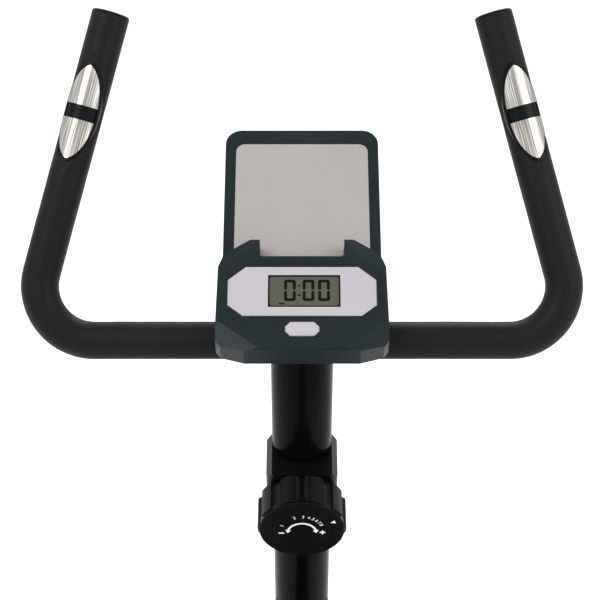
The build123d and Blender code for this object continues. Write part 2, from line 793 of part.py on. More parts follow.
def saddle_outline(scale):
    """The saddle seen from above: broad at the back, with a short nose."""
    across, along = scale * saddle_width / 2, scale * saddle_length
    Spline(
        *[(x * across, saddle_y + y * along) for x, y in (
            (0, -0.463), (0.52, -0.452), (0.9, -0.33), (1.0, -0.17), (0.76, 0.02), (0.44, 0.15),
            (0.29, 0.32), (0.22, 0.46), (0, 0.537),
        )],
        tangents=[(1, 0), (-1, 0)],
    )
    mirror(about=Plane.YZ)


def make_saddle():
    with BuildPart() as clamp:
        with BuildSketch(seat_plane.offset(seat_post_high + fit_gap)):
            Circle(15)
        extrude(amount=28)
        x_cylinder(15, -rail_x + 4, rail_x - 4, saddle_y, saddle_z)
        for side in (-1, 1):
            x_cylinder(17, side * (rail_x - 4), side * (rail_x - 0.2), saddle_y, saddle_z)
            x_cylinder(17, side * (rail_x + 0.2), side * (rail_x + 5), saddle_y, saddle_z)
        with BuildSketch(seat_plane.offset(seat_post_high)):
            Circle(seat_stub_radius + fit_gap)
        extrude(amount=20 + fit_gap, mode=Mode.SUBTRACT)
        with Locations(
            Location((-rail_x, saddle_y, rail_z), (90, 0, 0)), Location((rail_x, saddle_y, rail_z), (90, 0, 0))
        ):
            Cylinder(rail_radius + fit_gap / 2, 100, mode=Mode.SUBTRACT)
        x_cylinder(4.1, -100, 100, saddle_y, saddle_z, Mode.SUBTRACT)
        x_cylinder(4, -rail_x - 10, rail_x + 10, saddle_y, saddle_z)
        for side in (-1, 1):
            x_cylinder(7.5, side * (rail_x + 5.1), side * (rail_x + 11), saddle_y, saddle_z)
    finish(clamp, "saddle_clamp")
    with BuildPart() as rails:
        with BuildLine(Plane.YZ.offset(rail_x)) as line:
            FilletPolyline(
                (saddle_y - rail_reach, rail_z + 30),
                (saddle_y - rail_reach, rail_z),
                (saddle_y + rail_reach, rail_z),
                (saddle_y + rail_reach, rail_z + 30),
                radius=15,
            )
        with BuildSketch(Plane(origin=line.line @ 0, x_dir=(1, 0, 0), z_dir=line.line % 0)):
            Circle(rail_radius)
        sweep()
        mirror(about=Plane.YZ)
    finish(rails, "saddle_rails")
    with BuildPart() as base:
        with BuildSketch(Plane.XY.offset(saddle_base_z)):
            with BuildLine():
                saddle_outline(0.97)
            make_face()
        extrude(amount=saddle_base_height)
        ends = [(x, saddle_y + y) for x in (-rail_x, rail_x) for y in (-rail_reach, rail_reach)]
        with BuildSketch(Plane.XY.offset(rail_z + 17)):
            with Locations(*ends):
                Circle(6.5)
        extrude(amount=8)
        with BuildSketch(Plane.XY.offset(rail_z + 16)):
            with Locations(*ends):
                Circle(rail_radius + fit_gap)
        extrude(amount=14 + fit_gap, mode=Mode.SUBTRACT)
    finish(base, "saddle_base")
    with BuildPart() as pad:
        foot = saddle_base_z + saddle_base_height
        for height, scale in ((0, 0.975), (0.25, 1.0), (0.6, 0.97), (0.87, 0.88), (1, 0.7)):
            with BuildSketch(Plane.XY.offset(foot + height * saddle_pad_height)):
                with BuildLine():
                    saddle_outline(scale)
                make_face()
        loft()
    finish(pad, "saddle_pad")


# ---------------------------------------------------------------- front post and tension control
dial_plane = Plane(post_point(knob_drop, 0), x_dir=(1, 0, 0), z_dir=-post_plane.y_dir)
housing_top_drop = 127.0
knob_back = housing_front + 1.5
knob_front = knob_back + knob_depth
dial_thickness = 2.5
drum_radius = 17.0


def cable_path():
    """From under the cable drum into the post, down inside it, and out to the magnet carrier."""
    start = (knob_drop + drum_radius + cable_radius, housing_front - 6.5)
    drops = [start, (188, housing_front - 6.5), (199, cable_depth), (cable_exit_drop - 8, cable_depth)]
    points = [(post_point(drop, -m).Y, post_point(drop, -m).Z) for drop, m in drops]
    lug_y, lug_z = carrier_lug()
    return FilletPolyline(*points, (lug_y + 35.2, lug_z + 23.5), (lug_y + 8.2, lug_z + 7.9), radius=4)


def make_front_post():
    with BuildPart() as post:
        with BuildSketch(post_plane.offset(-post_length)):
            Circle(post_od / 2)
            Circle(post_od / 2 - post_wall, mode=Mode.SUBTRACT)
        extrude(amount=post_length - post_lip)
        with BuildSketch(post_plane.offset(-post_start)):
            with Locations((0, post_od / 2)):
                Rectangle(2 * post_od, post_od)
        extrude(amount=post_start + 10, mode=Mode.SUBTRACT)
        x_cylinder(clamp_radius + free_gap, -post_od, post_od, bar_y, bar_z, Mode.SUBTRACT)
        for drop in post_bolt_drops:
            bolt = post_point(drop, 0)
            x_cylinder(bolt_radius + 0.3, -post_od, post_od, bolt.Y, bolt.Z, Mode.SUBTRACT)
        with BuildSketch(Plane(post_point(191, 0), x_dir=(1, 0, 0), z_dir=-post_plane.y_dir)):
            Circle(6.5)
        extrude(amount=post_od, mode=Mode.SUBTRACT)
    finish(post, "front_post")
    with BuildPart() as bolts:
        for drop in post_bolt_drops:
            bolt = post_point(drop, 0)
            x_cylinder(bolt_radius, -post_od / 2 - 5, post_od / 2 + 5, bolt.Y, bolt.Z)
            for side in (-1, 1):
                x_cylinder(7, side * (post_od / 2 + fit_gap), side * (post_od / 2 + 6), bolt.Y, bolt.Z)
        chamfer(bolts.faces().sort_by(Axis.X)[-2:].edges(), length=1)
    finish(bolts, "post_bolts")
    with BuildPart() as cable:
        with BuildLine(Plane.YZ) as line:
            cable_path()
        with BuildSketch(Plane(origin=line.line @ 0, x_dir=(1, 0, 0), z_dir=line.line % 0)):
            Circle(cable_radius)
        sweep()
    finish(cable, "tension_cable")


def make_tension_control():
    with BuildPart() as housing:
        with BuildSketch(post_plane.offset(-housing_top_drop - housing_height)) as outline:
            with Locations((0, -16)):
                Rectangle(housing_width, 2 * (housing_front - 16))
            fillet(outline.vertices().group_by(Axis.Y)[0], radius=9)
        extrude(amount=housing_height)
        top = knob_drop - housing_top_drop
        edge = housing_width / 2
        with BuildSketch(dial_plane):
            with BuildLine():
                Polyline((edge - 5, top), (edge, top - 9), (edge + 9, top - 9), (edge + 9, top), close=True)
            make_face()
            mirror(about=Plane.YZ)
        extrude(amount=60, both=True, mode=Mode.SUBTRACT)
        with BuildSketch(post_plane.offset(-housing_top_drop - 2 * housing_height)):
            Circle(post_od / 2 + fit_gap)
        extrude(amount=3 * housing_height, mode=Mode.SUBTRACT)
        with BuildSketch(dial_plane.offset(post_od / 2 - 8)):
            Circle(21)
        extrude(amount=housing_front - 1.6 - post_od / 2 + 8, mode=Mode.SUBTRACT)
        with BuildSketch(dial_plane.offset(post_od / 2 - 8)):
            with Locations((0, -17)):
                Rectangle(10, 34)
        extrude(amount=housing_front - 3 - post_od / 2 + 8, mode=Mode.SUBTRACT)
        with BuildSketch(dial_plane):
            Circle(9.5)
        extrude(amount=2 * housing_front, mode=Mode.SUBTRACT)
    finish(housing, "tension_housing")
    with BuildPart() as dial:
        with BuildSketch(dial_plane.offset(post_od / 2 + 0.3)):
            Rectangle(30, 24)
        extrude(amount=2.2)
        with BuildSketch(dial_plane.offset(post_od / 2 + 1)):
            Circle(4)
        extrude(amount=knob_front - dial_thickness - post_od / 2)
        with BuildSketch(dial_plane.offset(knob_front - dial_thickness + 0.2)):
            Circle(dial_radius)
        extrude(amount=dial_thickness)
        fillet(dial.faces().sort_by(Axis((0, 0, 0), dial_plane.z_dir))[-1].edges(), radius=0.6)
    finish(dial, "tension_dial")
    with BuildPart() as drum:
        with BuildSketch(dial_plane.offset(post_od / 2 + 3)):
            Circle(drum_radius)
        extrude(amount=7)
        with BuildSketch(dial_plane.offset(post_od / 2 + 10)):
            Circle(9)
        extrude(amount=knob_back + 2.5 - post_od / 2 - 10)
        with BuildSketch(dial_plane):
            Circle(4 + run_gap)
        extrude(amount=100, mode=Mode.SUBTRACT)
    finish(drum, "cable_drum")
    with BuildPart() as knob:
        with BuildSketch(dial_plane.offset(knob_back)):
            Circle(knob_radius)
            with PolarLocations(knob_radius + 4, knob_lobes, start_angle=180 / knob_lobes):
                Circle(7, mode=Mode.SUBTRACT)
        extrude(amount=knob_depth - 2)
        chamfer(knob.faces().sort_by(Axis((0, 0, 0), dial_plane.z_dir))[-1].edges(), length=0.8)
        with BuildSketch(dial_plane.offset(knob_front - 5)):
            Circle(knob_face_radius)
        extrude(amount=5)
        chamfer(knob.faces().sort_by(Axis((0, 0, 0), dial_plane.z_dir))[-1].edges(), length=0.6)
        with BuildSketch(dial_plane.offset(knob_front - dial_thickness - 0.3)):
            Circle(dial_radius + 0.4)
        extrude(amount=10, mode=Mode.SUBTRACT)
        with BuildSketch(dial_plane.offset(knob_back)):
            Circle(31)
            Circle(13, mode=Mode.SUBTRACT)
        extrude(amount=knob_depth - 8, mode=Mode.SUBTRACT)
        with BuildSketch(dial_plane.offset(knob_back)):
            Circle(9 + fit_gap)
        extrude(amount=2.6, mode=Mode.SUBTRACT)
        with BuildSketch(dial_plane.offset(knob_back)):
            Circle(4 + run_gap)
        extrude(amount=knob_depth, mode=Mode.SUBTRACT)
    finish(knob, "tension_knob")


# ---------------------------------------------------------------- handlebar
arm_length = math.hypot(corner_half_width - tip_half_width, arm_height)
arm_run = ((tip_half_width - corner_half_width) / arm_length, arm_height / arm_length)


def sensor_plane(side):
    """A plane on the arm's axis, with x along the arm and z out through the pulse sensor."""
    along = bar_plane.x_dir * side * arm_run[0] + bar_plane.y_dir * arm_run[1]
    outward = bar_plane.x_dir * side * arm_run[1] - bar_plane.y_dir * arm_run[0]
    turn = math.radians(sensor_turn)
    x = side * (tip_half_width - sensor_drop * arm_run[0])
    origin = bar_plane.from_local_coords(Vector(x, arm_height - sensor_drop * arm_run[1]))
    return Plane(origin, x_dir=along, z_dir=bar_plane.z_dir * math.cos(turn) + outward * math.sin(turn))


def leaf(side, length, half_width_here, outer, inner):
    """A leaf-shaped patch of a tube around one arm."""
    plane = sensor_plane(side)
    end = length / 2
    with BuildPart() as patch:
        with BuildSketch(plane):
            with BuildLine():
                for width in (half_width_here, -half_width_here):
                    Bezier((-end, 0), (-0.88 * end, 0.7 * width), (-0.55 * end, width), (0, width))
                    Bezier((0, width), (0.55 * end, width), (0.88 * end, 0.7 * width), (end, 0))
            make_face()
        extrude(amount=40)
        with BuildSketch(Plane(plane.origin - plane.x_dir * 80, z_dir=plane.x_dir)):
            Circle(outer)
        extrude(amount=160, mode=Mode.INTERSECT)
        with BuildSketch(Plane(plane.origin - plane.x_dir * 80, z_dir=plane.x_dir)):
            Circle(inner)
        extrude(amount=160, mode=Mode.SUBTRACT)
    return patch.part


def arm_rod(side, start, end_short, radius):
    """A rod along half of the handlebar's line, from start on the crossbar to end_short before the tip."""
    tip = (side * (tip_half_width - end_short * arm_run[0]), arm_height - end_short * arm_run[1])
    with BuildPart() as rod:
        with BuildLine(bar_plane) as line:
            FilletPolyline((side * start, 0), (side * corner_half_width, 0), tip, radius=bend_radius)
        with BuildSketch(Plane(origin=line.line @ 0, x_dir=bar_plane.y_dir, z_dir=line.line % 0)):
            Circle(radius)
        sweep()
    return rod.part


def make_handlebar():
    outside = [arm_rod(side, 0, grip_end, bar_od / 2) for side in (-1, 1)]
    inside = [arm_rod(side, 0, grip_end, bar_od / 2 - bar_wall) for side in (-1, 1)]
    with BuildPart() as handlebar:
        add(outside)
        add(inside, mode=Mode.SUBTRACT)
    finish(handlebar, "handlebar")

    foams = [arm_rod(side, foam_start, 0, foam_od / 2) for side in (-1, 1)]
    bores = [arm_rod(side, foam_start, grip_end - fit_gap, bar_od / 2 + fit_gap) for side in (-1, 1)]
    seats = [leaf(side, plate_length + 0.4, plate_half_width + 0.2, 30, 1) for side in (-1, 1)]
    with BuildPart() as grips:
        add(foams)
        tips = grips.faces().sort_by(Axis((0, 0, 0), bar_plane.y_dir))[-2:]
        fillet(tips.edges(), radius=tip_rounding)
        add(bores, mode=Mode.SUBTRACT)
        add(seats, mode=Mode.SUBTRACT)
    finish(grips, "handlebar_grips")

    face = foam_od / 2 + 0.9
    plate_size = (plate_length - 2 * plate_margin, plate_half_width - plate_margin * 0.6)
    patches = [leaf(side, *plate_size, face, face - 1.2) for side in (-1, 1)]
    sockets = [leaf(side, *plate_size, face + 1, face - 1.2) for side in (-1, 1)]
    bore = bar_od / 2 + fit_gap
    bodies = [leaf(side, plate_length, plate_half_width, face - 0.3, bore) for side in (-1, 1)]
    with BuildPart() as bases:
        add(bodies)
        add(sockets, mode=Mode.SUBTRACT)
        for side in (-1, 1):
            with BuildSketch(sensor_plane(side).offset(bar_od / 2)):
                Rectangle(plate_band - 0.2, 20)
            extrude(amount=5)
        add([leaf(side, plate_length, plate_half_width, 40, face - 0.1) for side in (-1, 1)],
            mode=Mode.SUBTRACT)
    finish(bases, "pulse_bases")
    with BuildPart() as plates:
        add(patches)
        for side in (-1, 1):
            with BuildSketch(sensor_plane(side)):
                Rectangle(plate_band, 60)
            extrude(amount=40, mode=Mode.SUBTRACT)
    finish(plates, "pulse_plates")

    ahead = 28.0
    with BuildPart() as clamp:
        x_cylinder(clamp_radius, -clamp_half_width, clamp_half_width, bar_y, bar_z)
        with BuildSketch(post_plane.offset(-9)):
            with Locations((0, ahead / 2 + 4)):
                Rectangle(2 * clamp_half_width, ahead + 8)
        extrude(amount=18)
        with BuildSketch(post_plane.offset(-post_start)):
            Rectangle(2 * clamp_half_width - 6, 2 * clamp_radius - 3)
        extrude(amount=post_start)
        with BuildSketch(post_plane.offset(-post_start + fit_gap)):
            Circle(post_od / 2)
            with Locations((0, fit_gap - post_od)):
                Rectangle(2 * post_od, 2 * post_od, mode=Mode.SUBTRACT)
        extrude(amount=3.5)
        with BuildSketch(post_plane.offset(-post_start - 40)):
            Circle(post_od / 2 - post_wall - fit_gap)
        extrude(amount=41)
        x_cylinder(bar_od / 2 + fit_gap, -100, 100, bar_y, bar_z, Mode.SUBTRACT)
        with BuildSketch(post_plane.offset(-1)):
            with Locations((0, 30)):
                Rectangle(100, 60)
        extrude(amount=2, mode=Mode.SUBTRACT)
        with BuildSketch(post_plane.offset(-30)):
            with Locations((-11, ahead), (11, ahead)):
                Circle(3.1)
        extrude(amount=60, mode=Mode.SUBTRACT)
    finish(clamp, "handlebar_clamp")
    with BuildPart() as screws:
        with BuildSketch(post_plane.offset(-14)):
            with Locations((-11, ahead), (11, ahead)):
                Circle(3)
        extrude(amount=28)
        for start, size in ((9.1, 5), (-14, 4.9)):
            with BuildSketch(post_plane.offset(start)):
                with Locations((-11, ahead), (11, ahead)):
                    Circle(5)
            extrude(amount=size)
        with BuildSketch(post_plane.offset(14.1 - 3)):
            with Locations((-11, ahead), (11, ahead)):
                RegularPolygon(2.5, 6)
        extrude(amount=10, mode=Mode.SUBTRACT)
    finish(screws, "clamp_screws")


# ---------------------------------------------------------------- console
console_axis = Axis((0, 0, 0), console_plane.z_dir)
half_console = console_width / 2
case_screws = [(-61, -20.5), (61, -20.5), (-54, 54), (54, 54)]
bracket_screws = [(-12, -14), (12, -14), (-12, 14), (12, 14)]
octagon = [(46, 0.5), (60.5, 0.23), (60.5, -0.28), (48, -0.5)]


def console_outline():
    """The console's body seen from the front, with a notch at the top for the tablet."""
    half = [
        (47, chin), (66, chin + 5), (half_console, chin + 10), (half_console, -6), (half_console - 1, 45),
        (65, shoulder - 14), (56, shoulder - 7.5), (43, shoulder), (notch_half_width, shoulder),
        (notch_half_width, notch + 3), (notch_half_width - 0.9, notch + 0.9), (notch_half_width - 3, notch),
    ]
    Polyline(*half, *[(-x, y) for x, y in reversed(half)], close=True)


def fascia_outline():
    half = [(x, fascia_mid + y * fascia_height) for x, y in octagon]
    Polyline(*half, *[(-x, y) for x, y in reversed(half)], close=True)


def console_block(start, end, shrink):
    """The console's outline between two heights above the bar, shrunk by a wall."""
    with BuildPart() as block:
        with BuildSketch(console_plane.offset(start)):
            with BuildLine():
                console_outline()
            make_face()
            if shrink:
                offset(amount=-shrink, kind=Kind.INTERSECTION)
        extrude(amount=end - start)
    return block.part


def console_facets(sink):
    """What four slanting facets take off the front's corners, starting this far below the face."""
    with BuildPart() as facets:
        for side in (-1, 1):
            for (x, y), (next_x, next_y) in (((33, chin), (half_console, -5)), ((60, 43), (41, 63))):
                corner = console_plane.from_local_coords(Vector(side * x, y, console_face - sink))
                run = console_plane.x_dir * side * (next_x - x) + console_plane.y_dir * (next_y - y)
                outward = run.cross(console_plane.z_dir).normalized() * side
                turn = math.radians(facet_slope)
                up = console_plane.z_dir * math.cos(turn) + outward * math.sin(turn)
                with BuildSketch(Plane(corner, x_dir=run, z_dir=up)):
                    Rectangle(200, 200)
                extrude(amount=40)
    return facets.part


def make_console_shells():
    with BuildPart() as front_cavity:
        add(console_block(console_split, console_face - console_wall, console_wall))
        add(console_facets(console_wall), mode=Mode.SUBTRACT)
    body = console_block(console_split, console_face, 0)
    with BuildPart() as front:
        add(body)
        chamfer(front.faces().sort_by(console_axis)[-1].edges(), length=1.6)
        add(front_cavity.part, mode=Mode.SUBTRACT)
        with BuildSketch(console_plane.offset(console_split)):
            with Locations(*case_screws):
                Circle(4)
        extrude(amount=console_face - console_wall - console_split)
        add(console_facets(0), mode=Mode.SUBTRACT)
        with BuildSketch(console_plane.offset(console_face - 0.8)):
            with BuildLine():
                fascia_outline()
            make_face()
            offset(amount=0.15)
        extrude(amount=5, mode=Mode.SUBTRACT)
        with BuildSketch(console_plane.offset(console_split)):
            with Locations((lcd_x, fascia_mid)):
                Rectangle(lcd_width + 0.4, lcd_height + 0.4)
            with BuildLine():
                button_outline(0.3)
            make_face()
        extrude(amount=40, mode=Mode.SUBTRACT)
        with BuildSketch(console_plane.offset(console_split)):
            with Locations(*case_screws):
                Circle(1.55)
        extrude(amount=5, mode=Mode.SUBTRACT)
    finish(front, "console_front")

    rear_body = console_block(console_back, console_split, 0)
    rear_cavity = console_block(console_back + console_wall, console_split, console_wall)
    low = shoulder - 21
    middle = (low + tablet_top) / 2
    with BuildPart() as rear:
        add(rear_body)
        chamfer(rear.faces().sort_by(console_axis)[0].edges(), length=1.6)
        with BuildSketch(console_plane.offset(tablet_back)) as panel:
            with Locations((0, middle)):
                Rectangle(tablet_width, tablet_top - low)
            fillet(panel.vertices().group_by(Axis.Y)[-1], radius=tablet_radius)
        extrude(amount=tablet_front - tablet_back)
        add(rear_cavity, mode=Mode.SUBTRACT)
        with BuildSketch(console_plane.offset(tablet_back - 1)):
            with Locations((0, (shoulder + 7 + tablet_top - 8) / 2)):
                RectangleRounded(tablet_width - 16, tablet_top - shoulder - 15, 8)
        extrude(amount=tablet_front - tablet_back - 2 * insert_recess, mode=Mode.SUBTRACT)
        with BuildSketch(console_plane.offset(console_back)):
            with Locations(*case_screws):
                Circle(4.5)
            with Locations(*bracket_screws):
                Circle(3.5)
            with Locations((battery_x, battery_mid)):
                Rectangle(33.4, 55.6)
        extrude(amount=console_split - console_back)
        with BuildSketch(console_plane.offset(console_split - 1)):
            with Locations((battery_x, battery_mid)):
                Rectangle(33.4, 55.6)
        extrude(amount=5.8)
        with BuildSketch(console_plane.offset(console_back + 2)):
            with Locations((battery_x, battery_mid)):
                Rectangle(29.8, 52)
        extrude(amount=15, mode=Mode.SUBTRACT)
        with BuildSketch(console_plane.offset(console_back - 1)):
            with Locations((battery_x + 20, battery_mid)):
                Rectangle(77, 61)
        extrude(amount=3, mode=Mode.SUBTRACT)
        with BuildSketch(console_plane.offset(0)):
            with Locations(*case_screws, *bracket_screws):
                Circle(1.55)
        extrude(amount=console_split + 3, mode=Mode.SUBTRACT)
        with BuildSketch(console_plane.offset(0)):
            with Locations(*case_screws):
                Circle(3.2)
        extrude(amount=console_back + 2, mode=Mode.SUBTRACT)
        recess = tablet_front - insert_recess
        add(insert_shape(recess, recess + 20, 0), mode=Mode.SUBTRACT)
    finish(rear, "console_rear")
    with BuildPart() as insert:
        add(insert_shape(tablet_front - insert_recess, tablet_front - 0.2, 0.2))
    finish(insert, "tablet_insert")


def insert_shape(start, end, shrink):
    """The light panel a tablet leans on: the holder's face inside its border, around the console's top."""
    top = tablet_top - tablet_radius
    with BuildPart() as block:
        with BuildSketch(console_plane.offset(start)) as face:
            with Locations((0, (top + notch) / 2)):
                RectangleRounded(tablet_width - 2 * tablet_border, top - notch, 8)
            with Locations((0, notch + 4)):
                Rectangle(2 * notch_half_width, 8)
            with BuildLine():
                console_outline()
            make_face(mode=Mode.SUBTRACT)
            if shrink:
                offset(amount=-shrink, kind=Kind.INTERSECTION)
        extrude(amount=end - start)
    return block.part


def button_outline(grow):
    """An octagon, longer than it is high."""
    across, up, cut = button_width / 2 + grow, button_height / 2 + grow, 4.2
    half = [
        (across - cut, button_mid + up), (across, button_mid + up - cut), (across, button_mid - up + cut),
        (across - cut, button_mid - up),
    ]
    Polyline(*half, *[(-x, y) for x, y in reversed(half)], close=True)


def make_console_parts():
    with BuildPart() as fascia:
        with BuildSketch(console_plane.offset(console_face - 0.8)):
            with BuildLine():
                fascia_outline()
            make_face()
            with Locations((lcd_x, fascia_mid)):
                Rectangle(lcd_width + 0.4, lcd_height + 0.4, mode=Mode.SUBTRACT)
        extrude(amount=1.6)
        chamfer(fascia.faces().sort_by(console_axis)[-1].outer_wire().edges(), length=0.6)
    finish(fascia, "console_fascia")
    with BuildPart() as display:
        with BuildSketch(console_plane.offset(console_face - 7)):
            with Locations((lcd_x, fascia_mid)):
                Rectangle(lcd_width, lcd_height)
        extrude(amount=7.4)
        with BuildSketch(console_plane.offset(console_face)):
            with Locations((lcd_x, fascia_mid)):
                RectangleRounded(lcd_width - 2.4, lcd_height - 2.4, 1)
        extrude(amount=5, mode=Mode.SUBTRACT)
    finish(display, "lcd_display")
    with BuildPart() as button:
        with BuildSketch(console_plane.offset(console_face - 4)):
            with BuildLine():
                button_outline(0)
            make_face()
        extrude(amount=4 + button_rise)
        chamfer(button.faces().sort_by(console_axis)[-1].edges(), length=0.8)
        with BuildSketch(console_plane.offset(console_face - 5)):
            with BuildLine():
                button_outline(1.2)
            make_face()
        extrude(amount=2)
    finish(button, "mode_button")
    with BuildPart() as batteries:
        with BuildSketch(Plane(console_plane.from_local_coords(Vector(0, battery_mid - 25, console_back + 9.6)),
                               x_dir=(1, 0, 0), z_dir=console_plane.y_dir)):
            with Locations((battery_x - 7.4, 0), (battery_x + 7.4, 0)):
                Circle(7.1)
        extrude(amount=49)
        with BuildSketch(Plane(console_plane.from_local_coords(Vector(0, battery_mid + 24, console_back + 9.6)),
                               x_dir=(1, 0, 0), z_dir=console_plane.y_dir)):
            with Locations((battery_x - 7.4, 0), (battery_x + 7.4, 0)):
                Circle(2.6)
        extrude(amount=1.3)
    finish(batteries, "batteries")
    with BuildPart() as cover:
        with BuildSketch(console_plane.offset(console_back)):
            with Locations((battery_x + 3, battery_mid)):
                Rectangle(42, 60.4)
        extrude(amount=1.9)
        with BuildSketch(console_plane.offset(console_back - 0.8)):
            with Locations(*[(half_console - 8 - 3 * i, battery_mid) for i in range(4)]):
                Rectangle(1.2, 22)
        extrude(amount=1)
    finish(cover, "battery_cover")
    with BuildPart() as screws:
        for places, seat in ((case_screws, console_back), (bracket_screws, tablet_back - 2.4)):
            with BuildSketch(console_plane.offset(seat)):
                with Locations(*places):
                    Circle(3)
            extrude(amount=1.9)
            with BuildSketch(console_plane.offset(seat + 1)):
                with Locations(*places):
                    Circle(1.5)
            extrude(amount=15)
    finish(screws, "console_screws")
    with BuildPart() as bracket:
        with BuildSketch(console_plane.offset(tablet_back - 0.3)):
            with Locations((0, 0)):
                Rectangle(2 * clamp_half_width + 5, 38)
        extrude(amount=2.2)
        for side in (-1, 1):
            with BuildSketch(Plane.YZ.offset(side * (clamp_half_width + 1.4))):
                with Locations((bar_y, bar_z)):
                    Circle(16)
                for end in (-17, 17):
                    spot = console_plane.from_local_coords(Vector(0, end, tablet_back))
                    with Locations((spot.Y, spot.Z)):
                        Circle(1.8)
                make_hull()
            extrude(amount=1.1, both=True)
        x_cylinder(bar_od / 2 + fit_gap, -60, 60, bar_y, bar_z, Mode.SUBTRACT)
        with BuildSketch(console_plane):
            with Locations(*bracket_screws):
                Circle(1.6)
        extrude(amount=40, mode=Mode.SUBTRACT)
    finish(bracket, "console_bracket")


# ---------------------------------------------------------------- shroud
shroud_corners = [
    ((-205, 123), 60), ((428, 123), 45), ((438, 440), 70), ((335, 615), 26), ((256, 586), 26),
    ((210, 488), 50), ((-108, 482), 110), ((-235, 380), 90),
]
shroud_screw_spots = [(-172, 205), (-165, 392), (60, 447), (262, 500), (398, 205), (404, 425), (300, 172)]


def shroud_block(depth, inset):
    """The shroud's side view, extruded from the middle plane to this half width, with a round outer edge."""
    with BuildPart() as block:
        with BuildSketch(Plane.YZ) as outline:
            with BuildLine():
                Polyline(*[point for point, radius in shroud_corners], close=True)
            make_face()
            for point, radius in shroud_corners:
                fillet(outline.vertices().sort_by_distance(Vector(*point))[0], radius=radius)
            if inset:
                offset(amount=-inset)
        extrude(amount=depth)
        fillet(block.faces().sort_by(Axis.X)[-1].edges(), radius=shroud_edge - inset)
    return block.part


def make_shroud():
    outside = shroud_block(shroud_half_width, 0)
    inside = shroud_block(shroud_half_width - shroud_wall, shroud_wall)
    upright = upright_bar(stub_radius + 1)
    for name, side in SIDES:
        with BuildPart() as shroud:
            add(outside)
            add(inside, mode=Mode.SUBTRACT)
            with BuildSketch(Plane.YZ):
                with Locations(*shroud_screw_spots):
                    Circle(6)
            extrude(amount=shroud_half_width - 1)
            with BuildSketch(seat_plane.offset(-400)):
                Circle(seat_tube_od / 2 + 1)
            extrude(amount=700, mode=Mode.SUBTRACT)
            with BuildSketch(post_plane.offset(-post_length - 30)):
                Circle(post_od / 2 + 0.6)
            extrude(amount=120, mode=Mode.SUBTRACT)
            add(upright, mode=Mode.SUBTRACT)
            x_cylinder(14, -100, 100, crank_y, crank_z, Mode.SUBTRACT)
            with BuildSketch(Plane.YZ):
                with Locations(*shroud_screw_spots):
                    Circle(2.2 if side > 0 else 1.9)
            extrude(amount=100 if side > 0 else 22, mode=Mode.SUBTRACT)
            if side > 0:
                with BuildSketch(Plane.YZ.offset(shroud_half_width - 4)):
                    with Locations(*shroud_screw_spots):
                        Circle(5)
                extrude(amount=10, mode=Mode.SUBTRACT)
        if side < 0:
            right_handed = shroud.part
            with BuildPart() as shroud:
                mirror(right_handed, about=Plane.YZ)
        finish(shroud, f"shroud_{name}")
    with BuildPart() as screws:
        for y, z in shroud_screw_spots:
            x_cylinder(1.8, -20, shroud_half_width - 3, y, z)
            x_cylinder(4.6, shroud_half_width - 4, shroud_half_width - 1.4, y, z)
    finish(screws, "shroud_screws")


os.makedirs("parts", exist_ok=True)
make_main_frame()
make_stabilisers()
make_base_bolts()
make_end_caps()
make_floor_pads()
make_transport_wheels()
make_belt()
make_pulleys()
make_flywheel()
make_bearings()
make_idler()
make_magnet_carrier()
make_cranks()
make_pedals()
make_seat_post()
make_saddle()
make_front_post()
make_tension_control()
make_handlebar()
make_console_shells()
make_console_parts()
make_shroud()
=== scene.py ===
import json
import math

import bpy
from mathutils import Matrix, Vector, noise
from mathutils.bvhtree import BVHTree


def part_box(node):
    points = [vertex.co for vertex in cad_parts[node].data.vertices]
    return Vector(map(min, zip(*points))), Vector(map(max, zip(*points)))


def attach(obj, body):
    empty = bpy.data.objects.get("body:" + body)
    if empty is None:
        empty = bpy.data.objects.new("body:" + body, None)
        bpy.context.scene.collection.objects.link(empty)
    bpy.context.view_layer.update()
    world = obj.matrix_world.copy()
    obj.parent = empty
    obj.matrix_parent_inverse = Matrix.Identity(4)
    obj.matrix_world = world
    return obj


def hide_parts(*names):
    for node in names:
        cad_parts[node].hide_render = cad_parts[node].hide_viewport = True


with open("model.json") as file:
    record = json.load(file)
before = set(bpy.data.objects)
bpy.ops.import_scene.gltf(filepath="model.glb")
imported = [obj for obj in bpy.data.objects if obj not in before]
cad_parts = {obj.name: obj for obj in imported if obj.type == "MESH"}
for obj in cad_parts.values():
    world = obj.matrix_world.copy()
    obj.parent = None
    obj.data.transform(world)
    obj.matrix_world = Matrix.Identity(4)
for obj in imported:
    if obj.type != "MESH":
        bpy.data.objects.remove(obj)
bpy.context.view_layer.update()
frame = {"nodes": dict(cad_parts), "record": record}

MM = 0.001
NODES = frame["nodes"]

# ---------------------------------------------------------------- places, as in the CAD
BAR = Vector((0, 0.15, 1.0))
X = Vector((1, 0, 0))


def leaned(degrees):
    """(up, out) of a plane that faces the rider and leans forwards by degrees."""
    a = math.radians(degrees)
    return Vector((0, math.sin(a), math.cos(a))), Vector((0, -math.cos(a), math.sin(a)))


BAR_LEAN, FACE_LEAN, POST_LEAN = 22, 52, -20
KNOB_DROP = 0.164
BAR_UP, BAR_OUT = leaned(BAR_LEAN)
FACE_UP, FACE_OUT = leaned(FACE_LEAN)
DIAL_UP, DIAL_OUT = leaned(POST_LEAN)
KNOB = BAR - DIAL_UP * KNOB_DROP
# The handlebar's right half in its own plane, in millimetres from its middle, and the way each arm runs.
BAR_X, TIP_X, TIP_UP, BEND = 232.0, 157.7, 270.9, 45.0
ARM_OF = {side: (X * side * (TIP_X - BAR_X) + BAR_UP * TIP_UP).normalized() for side in (1, -1)}


def on_face(x, up, out):
    """A point of the console, in millimetres across, up its face and out from the bar."""
    return BAR + (X * x + FACE_UP * up + FACE_OUT * out) * MM


def on_dial(x, up, out):
    """A point of the dial, in millimetres from the knob's axis."""
    return KNOB + (X * x + DIAL_UP * up + DIAL_OUT * out) * MM


